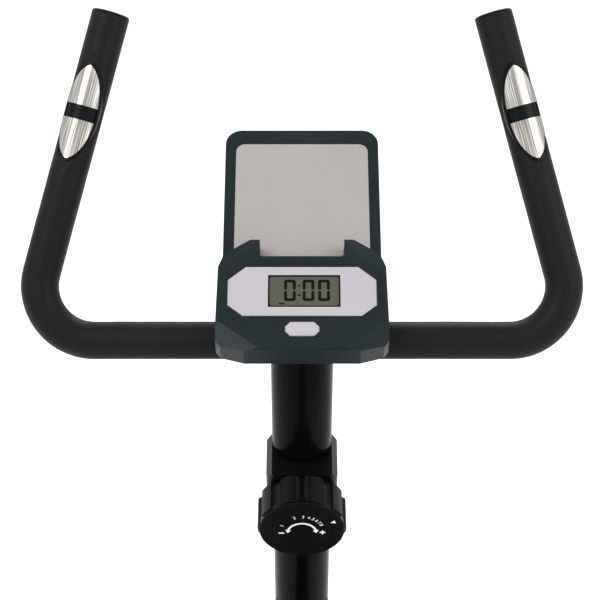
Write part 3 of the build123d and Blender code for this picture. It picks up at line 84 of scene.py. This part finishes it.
# ---------------------------------------------------------------- materials
def node(tree, kind, **values):
    """A shader node with these inputs set, and its links made where a value is a socket."""
    n = tree.nodes.new(kind)
    for key, value in values.items():
        if key not in n.inputs:
            setattr(n, key, value)
        elif isinstance(value, bpy.types.NodeSocket):
            tree.links.new(value, n.inputs[key])
        else:
            n.inputs[key].default_value = value
    return n


def ramp(tree, fac, stops):
    """A colour ramp over a value, from (place, colour) stops."""
    n = tree.nodes.new("ShaderNodeValToRGB")
    tree.links.new(fac, n.inputs["Fac"])
    while len(n.color_ramp.elements) < len(stops):
        n.color_ramp.elements.new(0.5)
    for element, (place, colour) in zip(n.color_ramp.elements, stops):
        element.position = place
        element.color = (*colour, 1)
    return n.outputs["Color"]


def grey(v):
    return (v, v, v)


def scaled(colour, k):
    return tuple(min(1.0, c * k) for c in colour)


PATCH_SCALE = 9.0


def material(name, colour, rough, metal=0.0, tint=0.12, grain=900.0, depth=0.00006, strength=0.35,
             rough_var=0.08, coat=0.0, coat_rough=0.1, sheen=0.0, specular=0.5, pattern="noise", wear=0.0):
    """A procedural finish: mottled colour, uneven roughness, a fine bump and worn edges."""
    m = bpy.data.materials.new(name)
    m.use_nodes = True
    tree = m.node_tree
    shader = tree.nodes["Principled BSDF"]
    where = node(tree, "ShaderNodeTexCoord").outputs["Object"]
    broad = node(tree, "ShaderNodeTexNoise", Vector=where, Scale=PATCH_SCALE, Detail=4.0, Roughness=0.6)
    fine = node(tree, "ShaderNodeTexNoise", Vector=where, Scale=grain, Detail=3.0, Roughness=0.55)
    shades = [(0.3, scaled(colour, 1 - tint)), (0.7, scaled(colour, 1 + tint))]
    tone = ramp(tree, broad.outputs["Fac"], shades)
    if wear:
        edge = node(tree, "ShaderNodeNewGeometry").outputs["Pointiness"]
        mask = ramp(tree, edge, [(0.53, grey(0)), (0.6, grey(1))])
        speck = ramp(tree, broad.outputs["Fac"], [(0.4, grey(0)), (0.65, grey(wear))])
        both = node(tree, "ShaderNodeMath", operation="MULTIPLY")
        tree.links.new(mask, both.inputs[0])
        tree.links.new(speck, both.inputs[1])
        mix = node(tree, "ShaderNodeMix", data_type="RGBA")
        tree.links.new(both.outputs[0], mix.inputs[0])
        tree.links.new(tone, mix.inputs[6])
        mix.inputs[7].default_value = (*scaled(colour, 2.2), 1)
        tone = mix.outputs[2]
    tree.links.new(tone, shader.inputs["Base Color"])
    span = node(tree, "ShaderNodeMapRange", Value=fine.outputs["Fac"])
    span.inputs["To Min"].default_value = max(0.02, rough - rough_var)
    span.inputs["To Max"].default_value = min(1.0, rough + rough_var)
    tree.links.new(span.outputs["Result"], shader.inputs["Roughness"])
    height = fine.outputs["Fac"]
    if pattern == "cells":
        cells = node(tree, "ShaderNodeTexVoronoi", Vector=where, Scale=grain * 0.6)
        height = cells.outputs["Distance"]
    elif pattern == "leather":
        cells = node(tree, "ShaderNodeTexVoronoi", Vector=where, Scale=grain, feature="DISTANCE_TO_EDGE")
        height = ramp(tree, cells.outputs["Distance"], [(0.0, grey(0)), (0.22, grey(1))])
    bump = node(tree, "ShaderNodeBump", Height=height, Strength=strength, Distance=depth)
    tree.links.new(bump.outputs["Normal"], shader.inputs["Normal"])
    shader.inputs["Metallic"].default_value = metal
    shader.inputs["Specular IOR Level"].default_value = specular
    shader.inputs["Coat Weight"].default_value = coat
    shader.inputs["Coat Roughness"].default_value = coat_rough
    shader.inputs["Sheen Weight"].default_value = sheen
    return m


MATERIALS = {
    "frame_paint": dict(colour=(0.022, 0.023, 0.025), rough=0.36, grain=700, strength=0.18, coat=0.25,
                        coat_rough=0.2, wear=0.5),
    "post_paint": dict(colour=(0.002, 0.002, 0.002), rough=0.2, grain=260, strength=0.12, rough_var=0.05,
                       specular=0.02),
    "steel": dict(colour=(0.5, 0.51, 0.52), rough=0.32, metal=1.0, grain=500, strength=0.12, wear=0.3),
    "cast_steel": dict(colour=(0.2, 0.2, 0.21), rough=0.48, metal=1.0, grain=420, strength=0.5, depth=0.0002),
    "chrome": dict(colour=(0.78, 0.78, 0.79), rough=0.1, metal=1.0, grain=90, strength=0.03, rough_var=0.05),
    "black_plastic": dict(colour=(0.0022, 0.0025, 0.003), rough=0.3, grain=1600, strength=0.4, depth=0.00008,
                          wear=0.4, specular=0.1),
    "console_plastic": dict(colour=(0.006, 0.0105, 0.0125), rough=0.4, grain=1500, strength=0.4,
                            depth=0.00006, wear=0.35, specular=0.14),
    "silver_plastic": dict(colour=(0.42, 0.395, 0.42), rough=0.34, metal=0.35, grain=2200, strength=0.15,
                           tint=0.04, rough_var=0.05),
    "light_plastic": dict(colour=(0.3, 0.277, 0.27), rough=0.5, grain=1300, strength=0.22, tint=0.035,
                          rough_var=0.06),
    "lcd": dict(colour=(0.062, 0.068, 0.046), rough=0.28, grain=2600, strength=0.05, tint=0.04, coat=0.1,
                coat_rough=0.12, specular=0.2),
    "rubber": dict(colour=(0.012, 0.012, 0.013), rough=0.68, grain=1100, strength=0.5, depth=0.0001),
    "foam": dict(colour=(0.0055, 0.0055, 0.0058), rough=0.5, grain=2300, strength=0.55, depth=0.00012,
                 pattern="cells", sheen=0.01, specular=0.12),
    "vinyl": dict(colour=(0.014, 0.014, 0.016), rough=0.46, grain=620, strength=0.5, depth=0.00014,
                  pattern="leather", specular=0.4),
    "grey_plastic": dict(colour=(0.2, 0.21, 0.225), rough=0.42, grain=1500, strength=0.35, depth=0.00006),
    "magnet": dict(colour=(0.5, 0.51, 0.53), rough=0.22, metal=1.0, grain=200, strength=0.05),
    "battery": dict(colour=(0.3, 0.25, 0.09), rough=0.3, metal=0.3, grain=300, strength=0.05, tint=0.3),
    "mark_white": dict(colour=(0.75, 0.75, 0.74), rough=0.5, grain=3000, strength=0.1, tint=0.05),
    "lcd_ink": dict(colour=(0.003, 0.0035, 0.003), rough=0.6, grain=3000, strength=0.05, tint=0.1,
                    specular=0.08),
}
made = {name: material(name, **values) for name, values in MATERIALS.items()}


STREAK_ALONG, STREAK_ACROSS = 22.0, 900.0


def brushed(name, along):
    """Polished sheet with streaks along a direction, the same on the left and the right."""
    m = bpy.data.materials.new(name)
    m.use_nodes = True
    tree = m.node_tree
    shader = tree.nodes["Principled BSDF"]
    split = node(tree, "ShaderNodeSeparateXYZ", Vector=node(tree, "ShaderNodeTexCoord").outputs["Object"])
    mirrored = node(tree, "ShaderNodeMath", operation="ABSOLUTE")
    tree.links.new(split.outputs["X"], mirrored.inputs[0])
    point = node(tree, "ShaderNodeCombineXYZ")
    tree.links.new(mirrored.outputs[0], point.inputs[0])
    tree.links.new(split.outputs["Y"], point.inputs[1])
    tree.links.new(split.outputs["Z"], point.inputs[2])
    side = along.cross(Vector((0, 1, 0))).normalized()
    rest = along.cross(side)
    axes = []
    for axis, scale in ((along, STREAK_ALONG), (side, STREAK_ACROSS), (rest, STREAK_ACROSS)):
        dot = tree.nodes.new("ShaderNodeVectorMath")
        dot.operation = "DOT_PRODUCT"
        tree.links.new(point.outputs[0], dot.inputs[0])
        dot.inputs[1].default_value = axis * scale
        axes.append(dot.outputs["Value"])
    local = node(tree, "ShaderNodeCombineXYZ")
    for socket, value in zip(local.inputs, axes):
        tree.links.new(value, socket)
    streaks = node(tree, "ShaderNodeTexNoise", Vector=local.outputs[0], Scale=1.0, Detail=5.0, Roughness=0.6)
    fac = streaks.outputs["Fac"]
    tree.links.new(ramp(tree, fac, [(0.32, (0.2, 0.185, 0.16)), (0.5, (0.42, 0.4, 0.37)), (0.7, grey(0.72))]),
                   shader.inputs["Base Color"])
    tree.links.new(ramp(tree, fac, [(0.3, grey(0.16)), (0.7, grey(0.36))]), shader.inputs["Roughness"])
    bump = node(tree, "ShaderNodeBump", Height=fac, Strength=0.2, Distance=0.00008)
    tree.links.new(bump.outputs["Normal"], shader.inputs["Normal"])
    shader.inputs["Metallic"].default_value = 1.0
    return m


made["plates"] = brushed("plates", ARM_OF[1])

for entry in frame["record"]["subparts"]:
    piece = NODES[entry["node"]]
    chosen = "plates" if entry["node"] == "pulse_plates" else entry["material_slot"]
    for slot in piece.material_slots:
        slot.material = made[chosen]


# ---------------------------------------------------------------- mesh helpers
def evaluated_mesh(obj):
    """A new mesh of the object as its modifiers or its curve make it."""
    bpy.context.view_layer.update()
    return bpy.data.meshes.new_from_object(obj.evaluated_get(bpy.context.evaluated_depsgraph_get()))


def add_mesh(name, verts, faces, finish, body="frame", smooth=True):
    """A new piece in metres that rides a body; its one slot is named like its finish."""
    mesh = bpy.data.meshes.new(name)
    mesh.from_pydata([tuple(v) for v in verts], [], faces)
    mesh.validate()
    mesh.polygons.foreach_set("use_smooth", [smooth] * len(mesh.polygons))
    mesh.materials.append(made[finish])
    mesh.update()
    obj = bpy.data.objects.new(name, mesh)
    bpy.context.scene.collection.objects.link(obj)
    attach(obj, body)
    return obj


def plates_of(name, outlines, place, low, high, finish, body):
    """Thin raised shapes: each outline, in millimetres, is a prism between two heights."""
    verts, faces = [], []
    for outline in outlines:
        n, first = len(outline), len(verts)
        verts += [place(x, y, low) for x, y in outline] + [place(x, y, high) for x, y in outline]
        faces.append(tuple(range(first + n, first + 2 * n)))
        faces.append(tuple(reversed(range(first, first + n))))
        faces += [(first + i, first + (i + 1) % n, first + n + (i + 1) % n, first + n + i) for i in range(n)]
    add_mesh(name, verts, faces, finish, body, smooth=False)


# ---------------------------------------------------------------- foam grips, in millimetres
FOAM_R, FOAM_FROM, DOME = 15.7, 56.0, 2.0
# The sensor's leaf shape: its size, its place below the tip, its turn, and how its outline bulges.
LEAF, LEAF_HALF, SENSOR_DROP, SENSOR_TURN = 84.0, 14.9, 86.3, 10.0
LEAF_POWER, LEAF_BLUNT = 2.2, 0.6
# The foam's dip round the sensor: how deep, how fast it fades and how far past the leaf's points.
DIP, DIP_FADE, DIP_REACH = 0.75, 1.5, 6
RING_STEP, AROUND = 1.6, 72
TIP_RINGS = (1.7, 1.2, 0.8, 0.45, 0.2, 0.05, 0.0)
CAP_RINGS = (0.8, 0.5, 0.2)
# In metres: how far the grip's end sinks in, and (scale, height) of the two ripples.
CAP_SINK = 0.0006
RIPPLES = ((60, 0.00012), (260, 0.00004))


def grip_line():
    """Points and directions of the right grip in the handlebar's plane, from the foam's start to the tip."""
    arm = Vector((TIP_X - BAR_X, TIP_UP)).normalized()
    turn = math.atan2(arm.y, arm.x)
    run = BEND * math.tan(turn / 2)
    centre = Vector((BAR_X - run, BEND))
    start = Vector((BAR_X, 0)) + arm * run
    straight = BAR_X - run - FOAM_FROM
    count = int(straight / RING_STEP)
    out = [(Vector((FOAM_FROM + straight * i / count, 0)), Vector((1, 0))) for i in range(count)]
    count = int(BEND * turn / RING_STEP)
    for i in range(count):
        a = turn * i / count
        out.append((centre + Vector((math.sin(a), -math.cos(a))) * BEND, Vector((math.cos(a), math.sin(a)))))
    length = (Vector((TIP_X, TIP_UP)) - start).length
    count = int(length / RING_STEP)
    out += [(start + arm * length * i / count, arm) for i in range(count + 1)]
    return out


def foam_radius(to_tip, angle):
    """The foam's radius at a distance from the tip: round at the tip, pinched in round the sensor."""
    along = to_tip - SENSOR_DROP
    facing = angle - math.radians(90 - SENSOR_TURN)
    r = FOAM_R
    if abs(along) < LEAF / 2 + DIP_REACH and math.cos(facing) > 0:
        half = LEAF_HALF * max(0.0, 1 - abs(2 * along / LEAF) ** LEAF_POWER) ** LEAF_BLUNT
        gap = abs(math.sin(facing)) * FOAM_R - half
        r -= DIP * math.exp(-(max(gap, 0.0) / DIP_FADE) ** 2)
    if to_tip < DOME:
        r -= DOME - math.sqrt(max(0.0, DOME ** 2 - (DOME - to_tip) ** 2))
    return r


def foam_ring(side, point, way, to_tip):
    """One ring of slightly uneven foam round a point of the grip's line."""
    normal = Vector((way.y, -way.x))
    out = []
    for k in range(AROUND):
        a = 2 * math.pi * k / AROUND
        r = foam_radius(to_tip, a)
        spot = point + normal * (math.cos(a) * r)
        v = BAR + (X * side * spot.x + BAR_UP * spot.y + BAR_OUT * math.sin(a) * r) * MM
        ripple = sum(noise.noise(v * scale) * height for scale, height in RIPPLES)
        out.append(v + (v - BAR - (X * side * point.x + BAR_UP * point.y) * MM).normalized() * ripple)
    return out


def make_grips():
    """Both foam grips as one piece: rings along the line, a rounded tip and a slightly sunk end."""
    verts, faces = [], []
    for side in (1, -1):
        line = grip_line()
        total = sum((after[0] - before[0]).length for before, after in zip(line, line[1:]))
        gone, rings = 0.0, []
        for i, (point, way) in enumerate(line):
            if i:
                gone += (point - line[i - 1][0]).length
            rings.append((point, way, total - gone))
        tip, way = rings.pop()[:2]
        rings += [(tip - way * left, way, left) for left in TIP_RINGS]
        first = len(verts)
        for ring in rings:
            verts += foam_ring(side, *ring)
        last = len(verts) - AROUND
        centre = BAR + (X * side * tip.x + BAR_UP * tip.y) * MM
        for scale in CAP_RINGS:
            sink = -ARM_OF[side] * CAP_SINK * (1 - scale)
            verts += [centre + (verts[last + k] - centre) * scale + sink for k in range(AROUND)]
        end = len(verts) - AROUND
        outlines = []
        for low in range(first, end, AROUND):
            for k in range(AROUND):
                after = (k + 1) % AROUND
                outlines.append((low + k, low + after, low + AROUND + after, low + AROUND + k))
        outlines.append(range(end, end + AROUND))
        outlines.append(range(first + AROUND - 1, first - 1, -1))
        faces += [tuple(outline if side < 0 else reversed(outline)) for outline in outlines]
    grips = add_mesh("foam_grips", verts, faces, "foam")
    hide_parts("handlebar_grips")


make_grips()


# ---------------------------------------------------------------- display, in millimetres
LCD_X, LCD_UP, DIGIT_UP = 1.7, 20.5, 21.4
DIGIT_WIDTH, DIGIT_HEIGHT, STROKE, SEGMENT_GAP = 9.6, 19.6, 2.5, 0.2
DIGITS_AT = (-14.7, 0.4, 13.0)
COLON_X, COLON_APART, DOT = -2.4, 4.4, 0.95
SIGN = [(-18.7, 8.6), (-14.2, 8.6), (-14.2, 9.9), (-18.7, 9.9)]
INK_LOW, INK_HIGH = 48.01, 48.12
RIM_OUTER, RIM_INNER = (29.3, 14.55, 1.0), (28.2, 13.5, 2.2)
RIM_FOOT, RIM_TOP, RIM_INSIDE = 48.3, 48.65, 48.05
CORNER_POINTS = 32


def zero_outlines(left):
    """The six lit segments of a seven-segment zero, as pointed bars."""
    right, low, high = left + DIGIT_WIDTH, DIGIT_UP - DIGIT_HEIGHT / 2, DIGIT_UP + DIGIT_HEIGHT / 2
    h, gap = STROKE / 2, SEGMENT_GAP
    level = [(y, left + gap, right - gap) for y in (high - h, low + h)]
    upright = [(x, foot + gap, top - gap) for x in (right - h, left + h)
               for foot, top in ((DIGIT_UP, high), (low, DIGIT_UP))]
    out = [[(a + h, y - h), (b - h, y - h), (b, y), (b - h, y + h), (a + h, y + h), (a, y)]
           for y, a, b in level]
    out += [[(x - h, a + h), (x, a), (x + h, a + h), (x + h, b - h), (x, b), (x - h, b - h)]
            for x, a, b in upright]
    return out


def lcd_reading():
    """0:00 and a small mark in the lower left corner."""
    outlines = [outline for left in DIGITS_AT for outline in zero_outlines(left)]
    for up in (DIGIT_UP - COLON_APART, DIGIT_UP + COLON_APART):
        angles = [math.pi * k / 6 for k in range(12)]
        outlines.append([(COLON_X + DOT * math.cos(a), up + DOT * math.sin(a)) for a in angles])
    plates_of("lcd_reading", outlines + [SIGN], on_face, INK_LOW, INK_HIGH, "lcd_ink", "frame")


def rounded(half_x, half_y, radius):
    """A rectangle with rounded corners round the display's middle, as a ring of points."""
    out = []
    for k in range(CORNER_POINTS):
        a = 2 * math.pi * (k + 0.5) / CORNER_POINTS
        cx, cy = math.copysign(half_x - radius, math.cos(a)), math.copysign(half_y - radius, math.sin(a))
        out.append((LCD_X + cx + radius * math.cos(a), LCD_UP + cy + radius * math.sin(a)))
    return out


def lcd_rim():
    """The black rim round the display's glass, with a square section."""
    outer, inner = rounded(*RIM_OUTER), rounded(*RIM_INNER)
    heights = ((outer, RIM_FOOT), (outer, RIM_TOP), (inner, RIM_TOP), (inner, RIM_INSIDE))
    verts = [on_face(x, up, out) for ring, out in heights for x, up in ring]
    faces = []
    for ring in range(4):
        low, high = CORNER_POINTS * ring, CORNER_POINTS * ((ring + 1) % 4)
        for k in range(CORNER_POINTS):
            after = (k + 1) % CORNER_POINTS
            faces.append((low + k, low + after, high + after, high + k))
    add_mesh("lcd_rim", verts, faces, "black_plastic", smooth=False)


lcd_reading()
lcd_rim()


# ---------------------------------------------------------------- dial marks, in millimetres and degrees
DIAL_TOP, RING_TOP, MARK_HEIGHT = 71.7, 71.5, 0.06
NUMBER_RADIUS, NUMBER_SIZE = 18.4, 5.0
NUMBERS_AT = (160, 111, 87, 71, 58, 46, 35, 24)
MINUS_AT, PLUS_AT, SIGN_HALF, SIGN_THICK = (-18, -4), (18, -3), 2.5, 0.75
ARROW_IN, ARROW_OUT, ARROW_HEAD, ARROW_DROP = 11.6, 13.5, 1.7, 3.2
ARROW_ENDS, ARROW_POINTS = (15, 165), (-4, 184)
POINTER_AT, POINTER_HALF, POINTER_IN, POINTER_OUT = 22, 3.9, 26.8, 31.2


def number_mesh(number, place, spin):
    """One number as a thin raised mesh, centred on a point of the dial and turned by spin."""
    curve = bpy.data.curves.new("number", "FONT")
    curve.body = str(number)
    curve.size = NUMBER_SIZE
    curve.align_x, curve.align_y = "CENTER", "CENTER"
    curve.extrude = MARK_HEIGHT / 2
    temp = bpy.data.objects.new("number", curve)
    bpy.context.scene.collection.objects.link(temp)
    mesh = evaluated_mesh(temp)
    bpy.data.objects.remove(temp)
    verts = []
    for v in mesh.vertices:
        x = place[0] + v.co.x * math.cos(spin) - v.co.y * math.sin(spin)
        y = place[1] + v.co.x * math.sin(spin) + v.co.y * math.cos(spin)
        verts.append(on_dial(x, y, DIAL_TOP + MARK_HEIGHT / 2 + v.co.z))
    faces = [tuple(p.vertices) for p in mesh.polygons]
    bpy.data.meshes.remove(mesh)
    return verts, faces


def at_angle(radius, degrees, drop=0.0):
    """A point of the dial at an angle from its right, round a centre lowered by drop."""
    a = math.radians(degrees)
    return radius * math.cos(a), radius * math.sin(a) - drop


def dial_numbers():
    """The levels 1 to 8, closer together towards the strong end."""
    verts, faces = [], []
    for number, angle in enumerate(NUMBERS_AT, 1):
        more, polygons = number_mesh(number, at_angle(NUMBER_RADIUS, angle), math.radians(angle - 90))
        faces += [tuple(len(verts) + i for i in polygon) for polygon in polygons]
        verts += more
    add_mesh("dial_numbers", verts, faces, "mark_white", "frame", smooth=False)


def dial_signs():
    """A minus, a plus and a two-headed arrow between them."""
    long, thin = SIGN_HALF, SIGN_THICK
    bar = [(-long, -thin), (long, -thin), (long, thin), (-long, thin)]
    cross = [(long, -thin), (long, thin), (thin, thin), (thin, long), (-thin, long), (-thin, thin),
             (-long, thin), (-long, -thin), (-thin, -thin), (-thin, -long), (thin, -long), (thin, -thin)]
    signs = [[(at[0] + x, at[1] + y) for x, y in shape] for at, shape in ((MINUS_AT, bar), (PLUS_AT, cross))]
    right, left = ARROW_ENDS
    bends = range(right, left + 1, 10)
    arrow = [(ARROW_OUT, a) for a in bends]
    arrow += [(ARROW_OUT + ARROW_HEAD, left), ((ARROW_IN + ARROW_OUT) / 2, ARROW_POINTS[1]),
              (ARROW_IN - ARROW_HEAD, left)]
    arrow += [(ARROW_IN, a) for a in reversed(bends)]
    arrow += [(ARROW_IN - ARROW_HEAD, right), ((ARROW_IN + ARROW_OUT) / 2, ARROW_POINTS[0]),
              (ARROW_OUT + ARROW_HEAD, right)]
    signs.append([at_angle(radius, a, ARROW_DROP) for radius, a in arrow])
    plates_of("dial_signs", signs, on_dial, DIAL_TOP, DIAL_TOP + MARK_HEIGHT, "mark_white", "frame")


def knob_pointer():
    """A triangle on the knob's rim that points in at the numbers."""
    outline = [at_angle(POINTER_IN, POINTER_AT), at_angle(POINTER_OUT, POINTER_AT - POINTER_HALF),
               at_angle(POINTER_OUT, POINTER_AT + POINTER_HALF)]
    plates_of("knob_pointer", [outline], on_dial, RING_TOP, RING_TOP + MARK_HEIGHT, "mark_white",
              "tension_knob")


dial_numbers()
dial_signs()
knob_pointer()


# ---------------------------------------------------------------- saddle cushion, in metres
SHRINK, VOXEL = 0.975, 0.005
PINNED_UNDER, PUFF_LIMIT, PUFF_FRAMES, PRESSURE, STIFFNESS = 0.006, 0.006, 20, 4.0, 25
SEAM_AT, CROWN = 0.34, 0.004
CHANNEL_DEPTH, CHANNEL_WIDTH = 0.006, 0.011
CHANNEL_FADE, CHANNEL_END, CHANNEL_END_FADE = 0.12, 0.94, 0.2
PIPING_RADIUS, PIPING_OUT, PIPING_POINTS, PIPING_MIDDLE = 0.0019, 0.0002, 120, 0.42


def cushion():
    """The saddle's padding: the CAD block remeshed, inflated as cloth, then creased and piped."""
    source = NODES["saddle_pad"]
    obj = bpy.data.objects.new("saddle_cushion", source.data.copy())
    bpy.context.scene.collection.objects.link(obj)
    obj.data.materials.clear()
    obj.data.materials.append(made["vinyl"])
    low, high = (Vector(c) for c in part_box("saddle_pad"))
    middle = (low + high) / 2
    for v in obj.data.vertices:
        v.co = middle + Vector((a * SHRINK for a in (v.co - middle)))
    remesh = obj.modifiers.new("remesh", "REMESH")
    remesh.mode, remesh.voxel_size = "VOXEL", VOXEL
    settle(obj)
    start = [v.co.copy() for v in obj.data.vertices]
    group = obj.vertex_groups.new(name="seat")
    for v in obj.data.vertices:
        if v.co.z < low.z + PINNED_UNDER:
            group.add([v.index], 1.0, "REPLACE")
    cloth = obj.modifiers.new("cloth", "CLOTH")
    cloth.settings.vertex_group_mass = "seat"
    cloth.settings.use_pressure = True
    cloth.settings.uniform_pressure_force = PRESSURE
    cloth.settings.quality = 6
    cloth.settings.tension_stiffness = STIFFNESS
    cloth.settings.compression_stiffness = STIFFNESS
    cloth.settings.effector_weights.gravity = 0.0
    cloth.point_cache.frame_start, cloth.point_cache.frame_end = 1, PUFF_FRAMES
    for step in range(PUFF_FRAMES):
        bpy.context.scene.frame_set(step + 1)
    settle(obj)
    bpy.context.scene.frame_set(1)
    for v, rest in zip(obj.data.vertices, start):
        move = v.co - rest
        if move.length > PUFF_LIMIT:
            v.co = rest + move.normalized() * PUFF_LIMIT
    shape_saddle(obj, low, high)
    sub = obj.modifiers.new("sub", "SUBSURF")
    sub.levels = sub.render_levels = 1
    settle(obj)
    obj.data.polygons.foreach_set("use_smooth", [True] * len(obj.data.polygons))
    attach(obj, "seat")
    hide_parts("saddle_pad")
    pipe_saddle(obj, low, high)


def settle(obj):
    """Applies the object's modifiers."""
    mesh = evaluated_mesh(obj)
    old = obj.data
    obj.modifiers.clear()
    obj.data = mesh
    bpy.data.meshes.remove(old)


def shape_saddle(obj, low, high):
    """A relief channel along the middle, fading out at both ends and towards the seam."""
    seam = low.z + (high.z - low.z) * SEAM_AT
    for v in obj.data.vertices:
        top = max(0.0, (v.co.z - seam) / (high.z - seam))
        along = (v.co.y - low.y) / (high.y - low.y)
        reach = max(0.0, min(1.0, along / CHANNEL_FADE))
        reach *= max(0.0, min(1.0, (CHANNEL_END - along) / CHANNEL_END_FADE))
        v.co.z -= CHANNEL_DEPTH * top * reach * math.exp(-(v.co.x / CHANNEL_WIDTH) ** 2)
        v.co.z = min(v.co.z, high.z + CROWN)
        v.co.z = max(v.co.z, low.z)


def pipe_saddle(obj, low, high):
    """Piping sewn into the side seam."""
    mesh = obj.data
    tree = BVHTree.FromPolygons([v.co for v in mesh.vertices], [tuple(p.vertices) for p in mesh.polygons])
    seam = low.z + (high.z - low.z) * SEAM_AT
    middle = Vector((0, low.y + (high.y - low.y) * PIPING_MIDDLE, seam))
    spots = []
    for k in range(PIPING_POINTS):
        a = 2 * math.pi * k / PIPING_POINTS
        way = Vector((math.cos(a), math.sin(a), 0))
        hit = tree.ray_cast(middle + way * 0.4, -way)[0]
        if hit:
            spots.append(hit + way * PIPING_OUT)
    curve = bpy.data.curves.new("saddle_piping", "CURVE")
    curve.dimensions = "3D"
    spline = curve.splines.new("NURBS")
    spline.points.add(len(spots) - 1)
    for p, spot in zip(spline.points, spots):
        p.co = (*spot, 1)
    spline.use_cyclic_u = True
    spline.order_u = 4
    curve.bevel_depth, curve.bevel_resolution = PIPING_RADIUS, 4
    piping = bpy.data.objects.new("saddle_piping", curve)
    bpy.context.scene.collection.objects.link(piping)
    curve.materials.append(made["rubber"])
    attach(piping, "seat")


cushion()

# ---------------------------------------------------------------- stage, light and camera
FLOOR_HALF = 30
floor_mesh = bpy.data.meshes.new("floor")
corners = [(x * FLOOR_HALF, y * FLOOR_HALF, 0) for x, y in ((-1, -1), (1, -1), (1, 1), (-1, 1))]
floor_mesh.from_pydata(corners, [], [(0, 1, 2, 3)])
floor = bpy.data.objects.new("floor", floor_mesh)
bpy.context.scene.collection.objects.link(floor)
paint = material("floor_paint", grey(0.86), 0.7, grain=60, strength=0.02, tint=0.01)
glow = paint.node_tree.nodes["Principled BSDF"].inputs
glow["Emission Color"].default_value = (1, 1, 1, 1)
glow["Emission Strength"].default_value = 0.3
floor_mesh.materials.append(paint)

world = bpy.data.worlds.new("studio")
world.use_nodes = True
sky = world.node_tree.nodes["Background"].inputs
sky["Color"].default_value = (1, 1, 1, 1)
sky["Strength"].default_value = 1.0
bpy.context.scene.world = world


def area_light(name, place, size, power):
    """A round lamp of a diameter in metres and a power in watts, aimed at the handlebar's middle."""
    light = bpy.data.lights.new(name, "AREA")
    light.shape, light.size, light.energy = "DISK", size, power
    obj = bpy.data.objects.new(name, light)
    obj.location = place
    obj.rotation_euler = (BAR - Vector(place)).to_track_quat("-Z", "Y").to_euler()
    bpy.context.scene.collection.objects.link(obj)


area_light("key", (-1.4, -1.3, 3.0), 1.4, 34)
area_light("fill", (1.9, -1.0, 2.2), 1.6, 22)
area_light("back", (0.3, 2.2, 2.6), 1.4, 20)

CAMERA_AT, LOOKING_DOWN = (-0.0017, -0.978, 1.539), 24

camera = bpy.data.objects.new("camera", bpy.data.cameras.new("camera"))
camera.data.lens, camera.data.sensor_width = 90, 36
camera.location = CAMERA_AT
camera.rotation_euler = (math.radians(90 - LOOKING_DOWN), 0, 0)
bpy.context.scene.collection.objects.link(camera)
bpy.context.scene.camera = camera
bpy.context.scene.view_settings.view_transform = "Standard"
